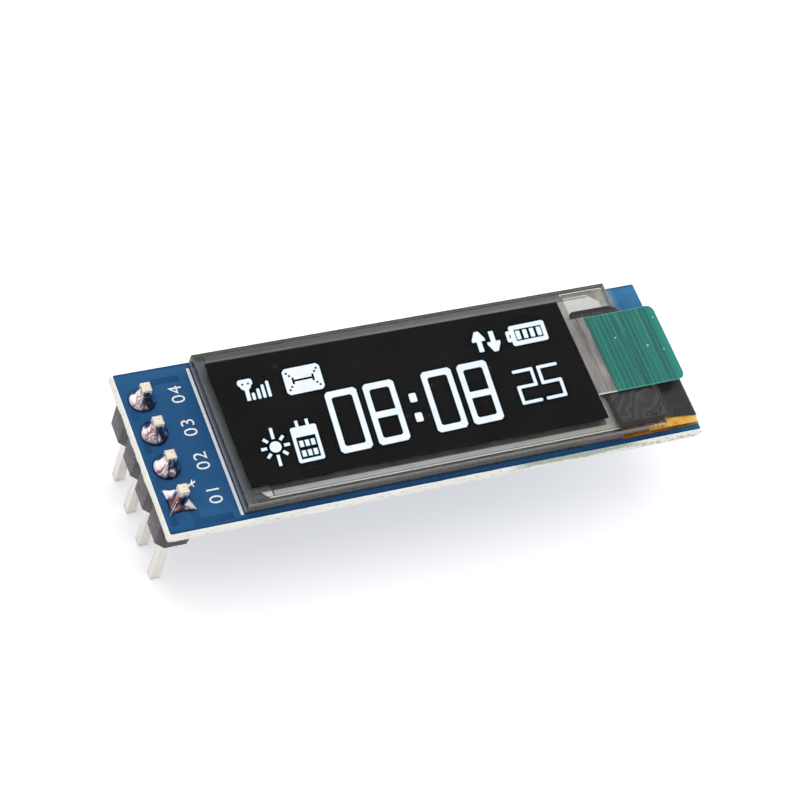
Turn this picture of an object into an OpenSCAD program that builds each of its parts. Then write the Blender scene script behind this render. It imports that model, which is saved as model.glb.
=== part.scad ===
// Small OLED display module: a glass display panel on a narrow circuit board, with a four-pin header.
// The origin is at the middle of the header, on the underside of its moulded strip.
// +X runs along the board towards the flex, +Y towards the last pin, +Z out of the display.

/* [Display glass] */
// Length of the front glass
glass_l = 30.1; // [25:0.1:37]
// Width of both glasses
glass_w = 11.5; // [9.5:0.1:14]
// Thickness of the front glass
front_glass_t = 0.5; // [0.4:0.05:0.7]
// Thickness of the rear glass
rear_glass_t = 0.45; // [0.35:0.05:0.7]
// Length of the front glass that the rear glass leaves free for the driver chip
ledge_l = 3.2; // [2.8:0.1:4]
// Depth of the hollow in the rear glass
hollow_depth = 0.2; // [0.15:0.01:0.25]
// Width of the rim around that hollow
hollow_rim = 1.1; // [0.8:0.1:1.5]
// Thickness of the seal between the glasses
seal_t = 0.04; // [0.02:0.01:0.08]
// Width of that seal
seal_w = 0.7; // [0.4:0.1:0.8]
// Thickness of the tracks and of the light-emitting layer
track_t = 0.03; // [0.02:0.01:0.05]

/* [Layers on the glass] */
// Thickness of the polariser
polariser_t = 0.18; // [0.1:0.01:0.3]
// Glass left bare at the header end
margin_left = 0.62; // [0.3:0.02:1.5]
// Distance from the polariser to the end of the rear glass
margin_right = 0.83; // [0.4:0.01:1.5]
// Glass left bare at the front
margin_front = 1.19; // [0.8:0.01:1.6]
// Glass left bare at the back
margin_back = 0.95; // [0.5:0.01:1.6]
// Thickness of the protective film
film_t = 0.04; // [0.03:0.01:0.1]
// Width of the clear tongue of the film
tongue_w = 6.25; // [4:0.05:8]
// Length of the tongue that stays clear
tongue_clear = 1.4; // [0.8:0.1:2]
// Thickness of the pull tab
tab_t = 0.08; // [0.05:0.01:0.15]
// Length of the pull tab
tab_l = 5.15; // [3:0.05:7]
// Width of the pull tab
tab_w = 6.05; // [3.5:0.05:8]
// Radius of the tab's free corners
tab_r = 0.7; // [0.2:0.1:1]
// Thickness of the black light-shield tape
shield_t = 0.06; // [0.04:0.01:0.1]
// Width of the light-shield tape
shield_w = 9.33; // [7:0.01:10]
// Length of the light-shield tape that laps over the rear glass
shield_lap = 0.3; // [0.1:0.05:0.6]
// Radius of the light-shield tape's corners on the glass
shield_r = 0.65; // [0.2:0.05:1]
// Length over which that tape comes down past the glass
shield_slope = 0.75; // [0.4:0.05:1]

/* [Flex] */
// Thickness of the flex
flex_t = 0.1; // [0.08:0.01:0.15]
// Width of the flex
flex_w = 9.4; // [8:0.1:9.4]
// Length of the flex past the end of the glass
flex_reach = 2.7; // [2:0.05:3]
// Length of the flex that is bonded to the glass
bond_l = 1.2; // [0.8:0.1:1.6]
// Number of contacts on the flex
contact_count = 14; // [10:1:14]
// Spacing of those contacts
contact_pitch = 0.62; // [0.5:0.01:0.65]
// Thickness of the solder under each contact
contact_solder_t = 0.03; // [0.02:0.01:0.06]
// Length of each contact
contact_l = 1.6; // [1:0.1:2]
// Width of each contact
contact_w = 0.34; // [0.2:0.01:0.4]

/* [Driver chip] */
// Length of the chip, across the glass
chip_l = 6.76; // [5:0.01:8]
// Width of the chip
chip_w = 0.86; // [0.6:0.01:1.1]
// Thickness of the chip
chip_t = 0.3; // [0.2:0.01:0.35]

/* [Board] */
// Thickness of the board
board_t = 1; // [0.6:0.1:1.6]
// Board left free for the header
header_zone = 5.1; // [4:0.1:8]
// Board past the end of the glass
flex_zone = 2.8; // [2.8:0.1:5]
// Board left free at each long side of the glass
side_zone = 0.25; // [0.1:0.05:1]
// Offset of the glass from the middle of the board
glass_shift = 0.1; // [0:0.05:0.1]
// How far the snapped web stands out at each edge
score_out = 0.15; // [0.05:0.01:0.3]
// Thickness of that web
score_web = 0.4; // [0.2:0.05:0.6]
// Thickness of the tape under the panel
mount_tape_t = 0.1; // [0.05:0.01:0.3]
// How far that tape stays inside the rear glass
mount_tape_inset = 0.5; // [0:0.1:1.5]

/* [Header] */
// Number of pins
pin_count = 4; // [4]
// Spacing of the pins
pin_pitch = 2.54; // [2:0.01:2.6]
// Thickness of a square pin
pin_w = 0.64; // [0.5:0.01:0.7]
// Length of a pin below the strip
pin_below = 6; // [4:0.1:9]
// Length of a pin above the board
pin_above = 1.8; // [1:0.1:2.5]
// Bevel at both ends of a pin
pin_bevel = 0.16; // [0.05:0.01:0.2]
// Distance from the edge of the board to the pins
pin_inset = 1.28; // [1:0.01:1.6]
// Height of the moulded strip
strip_h = 2.5; // [1.5:0.1:3]
// Width of the moulded strip
strip_w = 2.5; // [2:0.1:3]
// Chamfer between two segments of the strip
strip_chamfer = 0.5; // [0.2:0.05:0.7]
// Diameter of the plated holes
hole_d = 1; // [0.95:0.01:1.1]
// Diameter, or width, of the soldered pads
pad_d = 1.84; // [1.4:0.02:2]
// Height of the solder on a pad
solder_h = 0.62; // [0.4:0.01:0.8]
// Height of the solder that climbs the pin
solder_climb = 1.45; // [0.8:0.05:1.6]

/* [Parts on the back] */
// Length of a chip capacitor or resistor
passive_l = 1.6; // [1:0.1:2]
// Width of a chip capacitor or resistor
passive_w = 0.8; // [0.5:0.1:1.2]
// Height of a chip capacitor
capacitor_h = 0.8; // [0.3:0.05:1]
// Height of a chip resistor
resistor_h = 0.45; // [0.3:0.05:0.6]
// Spacing of the columns of parts, along the board
column_pitch = 3; // [2.5:0.1:3.2]
// Distance of both rows from the middle of the board
row_offset = 2.6; // [1.5:0.1:3]
// Distance from the pins to the regulator
regulator_x = 7; // [5:0.1:8]
// Length of the regulator's body
regulator_l = 2.9; // [2.5:0.1:3.1]
// Width of the regulator's body
regulator_w = 1.3; // [1.2:0.1:1.6]
// Height of the regulator's body
regulator_h = 1; // [0.8:0.05:1.2]

/* [Hidden] */
$fn = 48;
pins = [1:pin_count];
capacitor_count = 6;
resistor_count = 4;
capacitors = [1:capacitor_count];
resistors = [1:resistor_count];
eps = 0.01;

// the board, from the header's origin
board_l = header_zone + glass_l + flex_zone;
board_w = glass_w + 2 * side_zone;
board_x = -pin_inset;
board_y = -board_w / 2;
board_top = strip_h + board_t;
score_z = strip_h + (board_t - score_web) / 2;

// the panel
panel_z = board_top + mount_tape_t;
cap_l = glass_l - ledge_l;
glass_x = board_x + header_zone;
glass_y = glass_shift - glass_w / 2;
glass_end = glass_x + glass_l;
cap_end = glass_x + cap_l;
seal_z = panel_z + rear_glass_t;
track_z = seal_z + seal_t;
front_z = track_z + track_t;
panel_top = front_z + front_glass_t;
film_z = panel_top + polariser_t;
tab_z = film_z + film_t;

// the polariser's outline
view_x = glass_x + margin_left;
view_y = glass_y + margin_front;
view_l = cap_l - margin_left - margin_right;
view_w = glass_w - margin_front - margin_back;
view_end = view_x + view_l;

// the light-emitting layer keeps this far inside the polariser
emitter_inset_x = 1.1;
emitter_inset_y = 0.75;

// pale bars and pads on the inner face of the front glass, measured from the glass's own edges
bar_edge = 0.5;
bar_w = 0.5;
bar_gap = 0.05;
bar_start = 1.35;
fan_start = 1;
pad_start = 0.05;
pad_l = 2.45;
pad_w = 1.45;
pad_cut = 0.65;
rear_bar_w = 0.12;

// the drying sheet in the hollow
drying_t = 0.12;
drying_inset = 1;

// solder left round a pin where its climb ends
climb_film = 0.06;

// the flex and the tapes on it
flex_top = front_z;
flex_low = board_top + contact_solder_t;
fold_r = (flex_top - flex_low) / 2;
flex_tip = glass_end + flex_reach;
flex_margin = 0.33;
flex_y = board_y + flex_margin;
flex_gap = 0.06;
flex_start = cap_end + flex_gap;
shield_back = 0.35;
shield_margin = 0.3;
shield_y = glass_y + shield_margin;
tongue_shift = 0.25;
tongue_y = tongue_shift - tongue_w / 2;
tab_y = tongue_y + (tongue_w - tab_w) / 2;
tab_x = view_end + tongue_clear;
tongue_end = tab_x + tab_l;
chip_gap = 0.35;
contact_margin = 0.1;

// the parts on the back
column_gap = 3.6;
column_x = regulator_x + column_gap;
regulator_lead_w = 0.4;
regulator_lead_out = 0.55;
regulator_lead_t = 0.15;
regulator_lead_bend = 0.15;
regulator_lead_pitch = 0.95;
regulator_standoff = 0.1;

function pin_y(i) = (i - (pin_count + 1) / 2) * pin_pitch;
function column(i) = column_x + floor((i - 1) / 2) * column_pitch;
function row(i) = (i % 2 == 1 ? 1 : -1) * row_offset;

// a flat plate from its lowest corner
module plate(x, y, z, l, w, t) {
    translate([x, y, z]) cube([l, w, t]);
}

// an outline drawn in X and Z, extruded along Y
module along_y(y, w) {
    translate([0, y + w, 0]) rotate([90, 0, 0]) linear_extrude(w) children();
}

// an outline drawn in Y and Z, extruded along X
module along_x(x, l) {
    translate([x, 0, 0]) rotate([90, 0, 90]) linear_extrude(l) children();
}

// the section of a scored and snapped board: a flat slab with a web that stands out at both edges
module scored_section(low, high) {
    web_low = score_z;
    web_high = score_z + score_web;
    polygon([
        [low, strip_h], [high, strip_h],
        [high + score_out, web_low], [high + score_out, web_high],
        [high, board_top], [low, board_top],
        [low - score_out, web_high], [low - score_out, web_low]
    ]);
}

module circuit_board() {
    color("royalblue") difference() {
        intersection() {
            along_y(board_y - score_out, board_w + 2 * score_out)
                scored_section(board_x, board_x + board_l);
            along_x(board_x - score_out, board_l + 2 * score_out)
                scored_section(board_y, board_y + board_w);
        }
        for (i = pins) translate([0, pin_y(i), strip_h - eps]) cylinder(h = board_t + 2 * eps, d = hole_d);
    }
}

// one segment of the strip, with its corners cut so that a notch is left between neighbours
module strip_segment() {
    x = strip_w / 2;
    y = pin_pitch / 2;
    c = strip_chamfer;
    polygon([
        [x, c - y], [x, y - c], [x - c, y], [c - x, y],
        [-x, y - c], [-x, c - y], [c - x, -y], [x - c, -y]
    ]);
}

module header_strip() {
    color("dimgray") difference() {
        union() for (i = pins) translate([0, pin_y(i), 0]) linear_extrude(strip_h) strip_segment();
        for (i = pins) plate(-pin_w / 2, pin_y(i) - pin_w / 2, -eps, pin_w, pin_w, strip_h + 2 * eps);
    }
}

// a pin's side view, with all four corners bevelled
module pin_section() {
    w = pin_w / 2;
    b = pin_bevel;
    low = -pin_below;
    high = board_top + pin_above;
    polygon([
        [b - w, low], [w - b, low], [w, low + b], [w, high - b],
        [w - b, high], [b - w, high], [-w, high - b], [-w, low + b]
    ]);
}

module header_pin(i) {
    color("gainsboro") translate([0, pin_y(i), 0]) intersection() {
        along_y(-pin_w, 2 * pin_w) pin_section();
        along_x(-pin_w, 2 * pin_w) pin_section();
    }
}

// a cap of a sphere that stands on a circle of the given radius
module solder_cap(r, h) {
    sphere_r = (r * r + h * h) / (2 * h);
    intersection() {
        translate([0, 0, h - sphere_r]) sphere(r = sphere_r);
        cylinder(h = h + eps, r = r);
    }
}

// solder fills the hole, covers the pad and climbs the pin; the first pad is square
module solder_joint(i) {
    pad_r = pad_d / 2;
    color("silver") translate([0, pin_y(i), 0]) difference() {
        union() {
            translate([0, 0, strip_h]) cylinder(h = board_t + eps, d = hole_d);
            translate([0, 0, board_top]) cylinder(h = solder_climb, r1 = pin_w, r2 = pin_w / 2 + climb_film);
            translate([0, 0, board_top]) if (i == 1) intersection() {
                solder_cap(pad_r * sqrt(2), solder_h);
                plate(-pad_r, -pad_r, 0, pad_d, pad_d, solder_h + eps);
            } else {
                solder_cap(pad_r, solder_h);
            }
        }
        plate(-pin_w / 2, -pin_w / 2, strip_h - eps, pin_w, pin_w, board_t + pin_above);
    }
}

module mounting_tape() {
    inset = mount_tape_inset;
    color("whitesmoke") translate([glass_x + inset, glass_y + inset, board_top])
        cube([cap_l - 2 * inset, glass_w - 2 * inset, mount_tape_t]);
}

module rear_glass() {
    rim = hollow_rim;
    color("lightslategray") difference() {
        plate(glass_x, glass_y, panel_z, cap_l, glass_w, rear_glass_t);
        translate([glass_x + rim, glass_y + rim, seal_z - hollow_depth])
            cube([cap_l - 2 * rim, glass_w - 2 * rim, hollow_depth + eps]);
    }
}

module drying_sheet() {
    inset = hollow_rim + drying_inset;
    color("white") translate([glass_x + inset, glass_y + inset, seal_z - hollow_depth])
        cube([cap_l - 2 * inset, glass_w - 2 * inset, drying_t]);
}

module edge_seal() {
    color("slategray") difference() {
        plate(glass_x, glass_y, seal_z, cap_l, glass_w, seal_t);
        translate([glass_x + seal_w, glass_y + seal_w, seal_z - eps])
            cube([cap_l - 2 * seal_w, glass_w - 2 * seal_w, seal_t + 2 * eps]);
    }
}

// the long bar at the front turns up beside the ledge; the fan of row tracks lies between it and the picture
module conductor_tracks() {
    bar_y = glass_y + bar_edge;
    bar_end = glass_x + cap_l + pad_start;
    fan_y = bar_y + bar_w + bar_gap;
    pad_y = glass_y + glass_w - bar_edge - rear_bar_w - bar_gap - pad_w;
    color("darkgray") translate([0, 0, track_z]) linear_extrude(track_t) {
        polygon([
            [glass_x + bar_start, bar_y + bar_w], [glass_x + bar_start + bar_w, bar_y],
            [bar_end, bar_y], [bar_end, bar_y + bar_w]
        ]);
        translate([glass_x + fan_start, fan_y])
            square([bar_end - glass_x - fan_start, view_y + emitter_inset_y - bar_gap - fan_y]);
        polygon([
            [bar_end, pad_y], [bar_end + pad_l, pad_y], [bar_end + pad_l, pad_y + pad_w - pad_cut],
            [bar_end + pad_l - pad_cut, pad_y + pad_w], [bar_end, pad_y + pad_w]
        ]);
        translate([bar_end, pad_y + pad_w + bar_gap]) square([pad_l - pad_cut, rear_bar_w]);
    }
}

module emitter_layer() {
    color("black") plate(
        view_x + emitter_inset_x, view_y + emitter_inset_y, track_z,
        view_l - 2 * emitter_inset_x, view_w - 2 * emitter_inset_y, track_t
    );
}

module front_glass() {
    color("gray") plate(glass_x, glass_y, front_z, glass_l, glass_w, front_glass_t);
}

module polariser() {
    color([0.11, 0.11, 0.12]) plate(view_x, view_y, panel_top, view_l, view_w, polariser_t);
}

// a rectangle whose two corners on the right are round
module tab_outline(x, y, l, w, r) {
    translate([x, y]) {
        square([l - r, w]);
        translate([0, r]) square([l, w - 2 * r]);
        for (v = [r, w - r]) translate([l - r, v]) circle(r = r);
    }
}

module protective_film() {
    color("lavender") translate([0, 0, film_z]) linear_extrude(film_t) {
        translate([view_x, view_y]) square([view_l, view_w]);
        tab_outline(view_end - tab_r, tongue_y, tongue_end - view_end + tab_r, tongue_w, tab_r);
    }
}

module pull_tab() {
    color("teal") translate([0, 0, tab_z]) linear_extrude(tab_t)
        tab_outline(tab_x, tab_y, tab_l, tab_w, tab_r);
}

// the tape lies on the glass, comes down past its end and lies on the flex
module light_shield_tape() {
    start = cap_end - shield_lap;
    slope_end = glass_end + shield_slope;
    end = flex_tip - shield_back;
    lift = shield_t;
    color([0.15, 0.15, 0.16]) intersection() {
        along_y(shield_y, shield_w) polygon([
            [start, panel_top], [glass_end, panel_top], [slope_end, flex_top], [end, flex_top],
            [end, flex_top + lift], [slope_end, flex_top + lift], [glass_end + lift, panel_top + lift],
            [start, panel_top + lift]
        ]);
        translate([start, shield_y, 0]) linear_extrude(panel_top + 2 * lift) {
            translate([shield_r, 0]) square([end - start, shield_w]);
            translate([0, shield_r]) square([end - start, shield_w - 2 * shield_r]);
            for (v = [shield_r, shield_w - shield_r]) translate([shield_r, v]) circle(r = shield_r);
        }
    }
}

module driver_chip() {
    color("darkslategray")
        plate(cap_end + chip_gap, flex_y + (flex_w - chip_l) / 2, front_z - chip_t, chip_w, chip_l, chip_t);
}

// bonded under the front glass, the flex folds back at its tip and returns along the board
module flex_cable() {
    upper_x = glass_end - bond_l;
    fold_x = flex_tip - fold_r;
    color("goldenrod") along_y(flex_y, flex_w) {
        translate([upper_x, flex_top - flex_t]) square([fold_x - upper_x, flex_t]);
        translate([flex_start, flex_low]) square([fold_x - flex_start, flex_t]);
        translate([fold_x, flex_low + fold_r]) intersection() {
            difference() {
                circle(r = fold_r);
                circle(r = fold_r - flex_t);
            }
            translate([0, -fold_r]) square([fold_r, 2 * fold_r]);
        }
    }
}

module flex_solder() {
    middle = flex_y + flex_w / 2;
    color("silver") for (i = [1:contact_count]) {
        y = middle + (i - (contact_count + 1) / 2) * contact_pitch;
        translate([flex_start + contact_margin, y - contact_w / 2, board_top])
            cube([contact_l, contact_w, contact_solder_t]);
    }
}

// three bent leads, two on one side and one on the other
module regulator_lead(x, side) {
    reach = regulator_w / 2 + regulator_lead_out;
    bend = regulator_w / 2 + regulator_lead_bend;
    t = regulator_lead_t;
    half = regulator_h / 2;
    translate([x + regulator_lead_w / 2, 0, 0]) rotate([90, 0, 90]) translate([0, 0, -regulator_lead_w])
        linear_extrude(regulator_lead_w) polygon([
            [0, -half - t / 2], [side * (bend + t), -half - t / 2],
            [side * (bend + t), -t], [side * reach, -t],
            [side * reach, 0], [side * bend, 0],
            [side * bend, t / 2 - half], [0, t / 2 - half]
        ]);
}

module regulator() {
    x = regulator_x;
    body_z = strip_h - regulator_standoff - regulator_h;
    color("dimgray") translate([x, 0, 0]) {
        plate(-regulator_l / 2, -regulator_w / 2, body_z, regulator_l, regulator_w, regulator_h);
        translate([0, 0, strip_h]) {
            for (v = [-1, 1]) regulator_lead(v * regulator_lead_pitch, -1);
            regulator_lead(0, 1);
        }
    }
}

// a chip capacitor or resistor, lying across the board with its solder ends on the copper
module passive(x, y, h) {
    plate(x - passive_w / 2, y - passive_l / 2, strip_h - h, passive_w, passive_l, h);
}

module capacitor(i) {
    color("tan") passive(column(i), row(i), capacitor_h);
}

module resistor(i) {
    color([0.2, 0.2, 0.2]) passive(column(i + capacitor_count), row(i), resistor_h);
}

circuit_board();
header_strip();
for (i = pins) header_pin(i);
for (i = pins) solder_joint(i);
mounting_tape();
rear_glass();
drying_sheet();
edge_seal();
conductor_tracks();
emitter_layer();
front_glass();
polariser();
protective_film();
pull_tab();
light_shield_tape();
driver_chip();
flex_cable();
flex_solder();
regulator();
for (i = capacitors) capacitor(i);
for (i = resistors) resistor(i);
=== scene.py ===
import math
import random

import bmesh
import bpy
from mathutils import Matrix, Vector, noise


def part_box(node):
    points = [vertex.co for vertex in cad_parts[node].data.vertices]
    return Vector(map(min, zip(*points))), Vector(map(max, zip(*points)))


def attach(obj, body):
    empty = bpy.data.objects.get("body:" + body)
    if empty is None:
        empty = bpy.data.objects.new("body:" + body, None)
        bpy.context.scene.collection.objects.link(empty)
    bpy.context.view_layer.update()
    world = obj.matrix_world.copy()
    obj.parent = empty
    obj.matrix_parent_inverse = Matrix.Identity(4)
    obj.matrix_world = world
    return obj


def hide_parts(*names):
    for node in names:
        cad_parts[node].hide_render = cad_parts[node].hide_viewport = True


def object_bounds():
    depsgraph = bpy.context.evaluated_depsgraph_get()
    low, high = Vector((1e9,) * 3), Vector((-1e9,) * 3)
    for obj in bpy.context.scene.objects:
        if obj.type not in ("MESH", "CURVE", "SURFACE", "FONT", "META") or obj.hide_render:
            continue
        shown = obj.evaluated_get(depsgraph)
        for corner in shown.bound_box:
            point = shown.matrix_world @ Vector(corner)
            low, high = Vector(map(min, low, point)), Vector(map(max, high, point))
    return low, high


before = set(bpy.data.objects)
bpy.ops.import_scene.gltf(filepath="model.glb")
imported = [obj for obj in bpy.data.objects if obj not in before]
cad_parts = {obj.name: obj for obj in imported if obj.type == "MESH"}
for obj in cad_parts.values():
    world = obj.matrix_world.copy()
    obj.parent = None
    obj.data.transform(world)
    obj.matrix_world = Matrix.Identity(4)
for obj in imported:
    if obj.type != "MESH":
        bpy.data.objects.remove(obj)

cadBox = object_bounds()
mm = 0.001
random.seed(4)
bpy.context.scene.view_settings.view_transform = "Standard"


def cadEdges(node):
    # lowest and highest corner of a CAD node, in millimetres
    low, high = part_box(node)
    return low / mm, high / mm


boardLow, boardHigh = cadEdges("circuit_board")
stripLow, stripHigh = cadEdges("header_strip")
glassLow, glassHigh = cadEdges("front_glass")
rearLow, rearHigh = cadEdges("rear_glass")
trackLow, trackHigh = cadEdges("conductor_tracks")
polLow, polHigh = cadEdges("polariser")
filmLow, filmHigh = cadEdges("protective_film")
tabLow, tabHigh = cadEdges("pull_tab")
tapeLow, tapeHigh = cadEdges("light_shield_tape")
flexLow, flexHigh = cadEdges("flex_cable")
padNames = [n for n in sorted(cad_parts) if n.startswith("solder_joint_")]
pinNames = [n for n in sorted(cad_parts) if n.startswith("header_pin_")]


# meshes are built in millimetres, and finishPiece scales them to metres
def finishPiece(name, bm, materials, stands=(), smoothBelow=30):
    bmesh.ops.scale(bm, vec=(mm, mm, mm), verts=bm.verts)
    for face in bm.faces:
        face.smooth = smoothBelow > 0
    mesh = bpy.data.meshes.new(name)
    bm.to_mesh(mesh)
    bm.free()
    if smoothBelow > 0:
        mesh.set_sharp_from_angle(angle=math.radians(smoothBelow))
    for material in materials:
        mesh.materials.append(material)
    piece = bpy.data.objects.new(name, mesh)
    bpy.context.scene.collection.objects.link(piece)
    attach(piece, "root")
    if stands:
        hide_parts(*stands)
    return piece


def facesOf(verts):
    return list(dict.fromkeys(f for v in verts for f in v.link_faces))


def edgesOf(verts):
    return list(dict.fromkeys(e for v in verts for e in v.link_edges))


def addBox(bm, low, high, bevel=0.0, segments=2, index=0):
    low, high = Vector(low), Vector(high)
    place = Matrix.Translation((low + high) / 2) @ Matrix.Diagonal((*(high - low), 1))
    made = bmesh.ops.create_cube(bm, size=1, matrix=place)["verts"]
    for face in facesOf(made):
        face.material_index = index
    if bevel:
        made = bmesh.ops.bevel(
            bm, geom=edgesOf(made), offset=bevel, segments=segments, profile=0.5, affect="EDGES", material=-1
        )["verts"]
    return made


def addOutline(bm, points, z, index=0):
    face = bm.faces.new([bm.verts.new((p[0], p[1], z)) for p in points])
    face.material_index = index
    return face


def roundCorners(points, radii, steps=6):
    # each corner becomes a curve that starts and ends one radius away from it
    rounded = []
    for i, (corner, radius) in enumerate(zip(points, radii)):
        corner = Vector(corner)
        if not radius:
            rounded.append(corner)
            continue
        start = corner + (Vector(points[i - 1]) - corner).normalized() * radius
        end = corner + (Vector(points[(i + 1) % len(points)]) - corner).normalized() * radius
        middle = (start + end) / 2 + (corner - (start + end) / 2) * 0.586
        for k in range(steps + 1):
            t = k / steps
            bend = (middle - (start + end) / 4) * 2
            rounded.append(start * (1 - t) ** 2 + bend * 2 * t * (1 - t) + end * t ** 2)
    return rounded


def growOutline(points, amount):
    # moves every side outwards; the points run anticlockwise
    grown = []
    for i, point in enumerate(points):
        here = Vector(point)
        before = (here - Vector(points[i - 1])).normalized()
        after = (Vector(points[(i + 1) % len(points)]) - here).normalized()
        sideA, sideB = Vector((before.y, -before.x)), Vector((after.y, -after.x))
        grown.append(here + (sideA + sideB) / (1 + sideA.dot(sideB)) * amount)
    return grown


def cutAcross(bm, axis, places):
    normal = Vector((axis == "x", axis == "y", axis == "z"))
    for place in places:
        bmesh.ops.bisect_plane(
            bm, geom=bm.verts[:] + bm.edges[:] + bm.faces[:], plane_co=normal * place, plane_no=normal
        )


def thicken(bm, faces, thickness, index=None):
    lifted = bmesh.ops.extrude_face_region(bm, geom=faces)["geom"]
    moved = [g for g in lifted if isinstance(g, bmesh.types.BMVert)]
    bmesh.ops.translate(bm, vec=(0, 0, thickness), verts=moved)
    if index is not None:
        for face in facesOf(moved):
            if abs(face.normal.z) < 0.5:
                face.material_index = index
    return moved


def closeUp(bm):
    bmesh.ops.remove_doubles(bm, verts=bm.verts, dist=0.0005)
    bmesh.ops.recalc_face_normals(bm, faces=bm.faces)


def steps(low, high, pitch):
    count = max(1, round((high - low) / pitch))
    return [low + (high - low) * k / count for k in range(1, count)]


def rgb(red, green, blue):
    # screen colours, 0 to 255, as the linear values that sockets take
    parts = [c / 255 for c in (red, green, blue)]
    return (*[c / 12.92 if c <= 0.04045 else ((c + 0.055) / 1.055) ** 2.4 for c in parts], 1)


class Finish:
    def __init__(self, name, sockets=None):
        self.material = bpy.data.materials.new(name)
        self.material.use_nodes = True
        self.tree = self.material.node_tree
        self.shader = self.tree.nodes["Principled BSDF"]
        self.output = self.tree.nodes["Material Output"]
        self.coords = self.node("ShaderNodeTexCoord").outputs["Object"]
        for key, value in (sockets or {}).items():
            self.shader.inputs[key].default_value = value

    def node(self, kind, **settings):
        made = self.tree.nodes.new(kind)
        for key, value in settings.items():
            setattr(made, key, value)
        return made

    def link(self, source, target):
        self.tree.links.new(source, target)

    def mapped(self, stretch=(1, 1, 1), offset=(0, 0, 0)):
        # object coordinates in millimetres
        mapping = self.node("ShaderNodeMapping")
        mapping.inputs["Scale"].default_value = [s / mm for s in stretch]
        mapping.inputs["Location"].default_value = offset
        self.link(self.coords, mapping.inputs["Vector"])
        return mapping.outputs["Vector"]

    def along(self, axis):
        parts = self.node("ShaderNodeSeparateXYZ")
        self.link(self.mapped(), parts.inputs[0])
        return parts.outputs[axis]

    def noise(self, scale, detail=3, rough=0.5, stretch=(1, 1, 1), distortion=0.0, offset=(0, 0, 0)):
        made = self.node("ShaderNodeTexNoise")
        made.inputs["Scale"].default_value = scale
        made.inputs["Detail"].default_value = detail
        made.inputs["Roughness"].default_value = rough
        made.inputs["Distortion"].default_value = distortion
        self.link(self.mapped(stretch, offset), made.inputs["Vector"])
        return made.outputs["Fac"]

    def cells(self, scale, stretch=(1, 1, 1)):
        made = self.node("ShaderNodeTexVoronoi")
        made.inputs["Scale"].default_value = scale
        self.link(self.mapped(stretch), made.inputs["Vector"])
        return made

    def ramp(self, source, stops):
        made = self.node("ShaderNodeValToRGB")
        ramp = made.color_ramp
        ramp.interpolation = "LINEAR"
        while len(ramp.elements) < len(stops):
            ramp.elements.new(0.5)
        for element, (place, colour) in zip(ramp.elements, stops):
            element.position = place
            element.color = colour if isinstance(colour, tuple) else (colour, colour, colour, 1)
        self.link(source, made.inputs["Fac"])
        return made.outputs["Color"]

    def maths(self, operation, a, b=0.0):
        made = self.node("ShaderNodeMath", operation=operation)
        for socket, value in zip(made.inputs, (a, b)):
            if isinstance(value, (int, float)):
                socket.default_value = value
            else:
                self.link(value, socket)
        return made.outputs[0]

    def times(self, a, b):
        return self.maths("MULTIPLY", a, b)

    def plus(self, a, b):
        return self.maths("ADD", a, b)

    def cover(self, base, colour, mask, share):
        # lays a colour over the base where the mask is 1, as strongly as the share
        return self.mix(self.times(mask, share), base, colour)

    def between(self, value, low, high, soft):
        # 1 inside the range and 0 outside it, with soft ends
        rise = self.span(value, low - soft, low + soft)
        fall = self.span(value, high + soft, high - soft)
        return self.maths("MULTIPLY", rise, fall)

    def span(self, value, start, end, low=0.0, high=1.0):
        made = self.node("ShaderNodeMapRange", clamp=True)
        for socket, number in zip(made.inputs[1:5], (start, end, low, high)):
            socket.default_value = number
        self.link(value, made.inputs[0])
        return made.outputs[0]

    def mix(self, factor, a, b):
        made = self.node("ShaderNodeMix", data_type="RGBA", blend_type="MIX")
        for socket, value in ((made.inputs[0], factor), (made.inputs[6], a), (made.inputs[7], b)):
            if isinstance(value, (int, float, tuple)):
                socket.default_value = value
            else:
                self.link(value, socket)
        return made.outputs[2]

    def colour(self, source):
        self.link(source, self.shader.inputs["Base Color"])

    def roughness(self, source, low, high):
        self.link(self.span(source, 0.3, 0.7, low, high), self.shader.inputs["Roughness"])

    def bump(self, height, strength, distance):
        made = self.node("ShaderNodeBump")
        made.inputs["Strength"].default_value = strength
        made.inputs["Distance"].default_value = distance * mm
        self.link(height, made.inputs["Height"])
        self.link(made.outputs[0], self.shader.inputs["Normal"])
        return made

    def seeThrough(self, solidShare):
        # what is not solid shows what lies behind it
        clear = self.node("ShaderNodeBsdfTransparent")
        both = self.node("ShaderNodeMixShader")
        if isinstance(solidShare, (int, float)):
            both.inputs[0].default_value = solidShare
        else:
            self.link(solidShare, both.inputs[0])
        self.link(clear.outputs[0], both.inputs[1])
        self.link(self.shader.outputs[0], both.inputs[2])
        self.link(both.outputs[0], self.output.inputs["Surface"])


def makePlain(name, low, high, noiseSettings, sockets, bump=None, highAt=0.7):
    # two close shades in a fine grain, from one line of settings
    finish = Finish(name, sockets)
    grain = finish.noise(*noiseSettings)
    finish.colour(finish.ramp(grain, [(0.3, low), (highAt, high)]))
    if bump:
        finish.bump(grain, *bump)
    return finish.material


def dressNode(name, material):
    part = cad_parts[name]
    part.data.materials.clear()
    part.data.materials.append(material)


print("helpers ready")


board = {
    "webOut": 0.15,
    "edgePitch": 0.16,
    "snapRoughness": 0.06,
    "cornerRound": 0.12,
}


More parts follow.
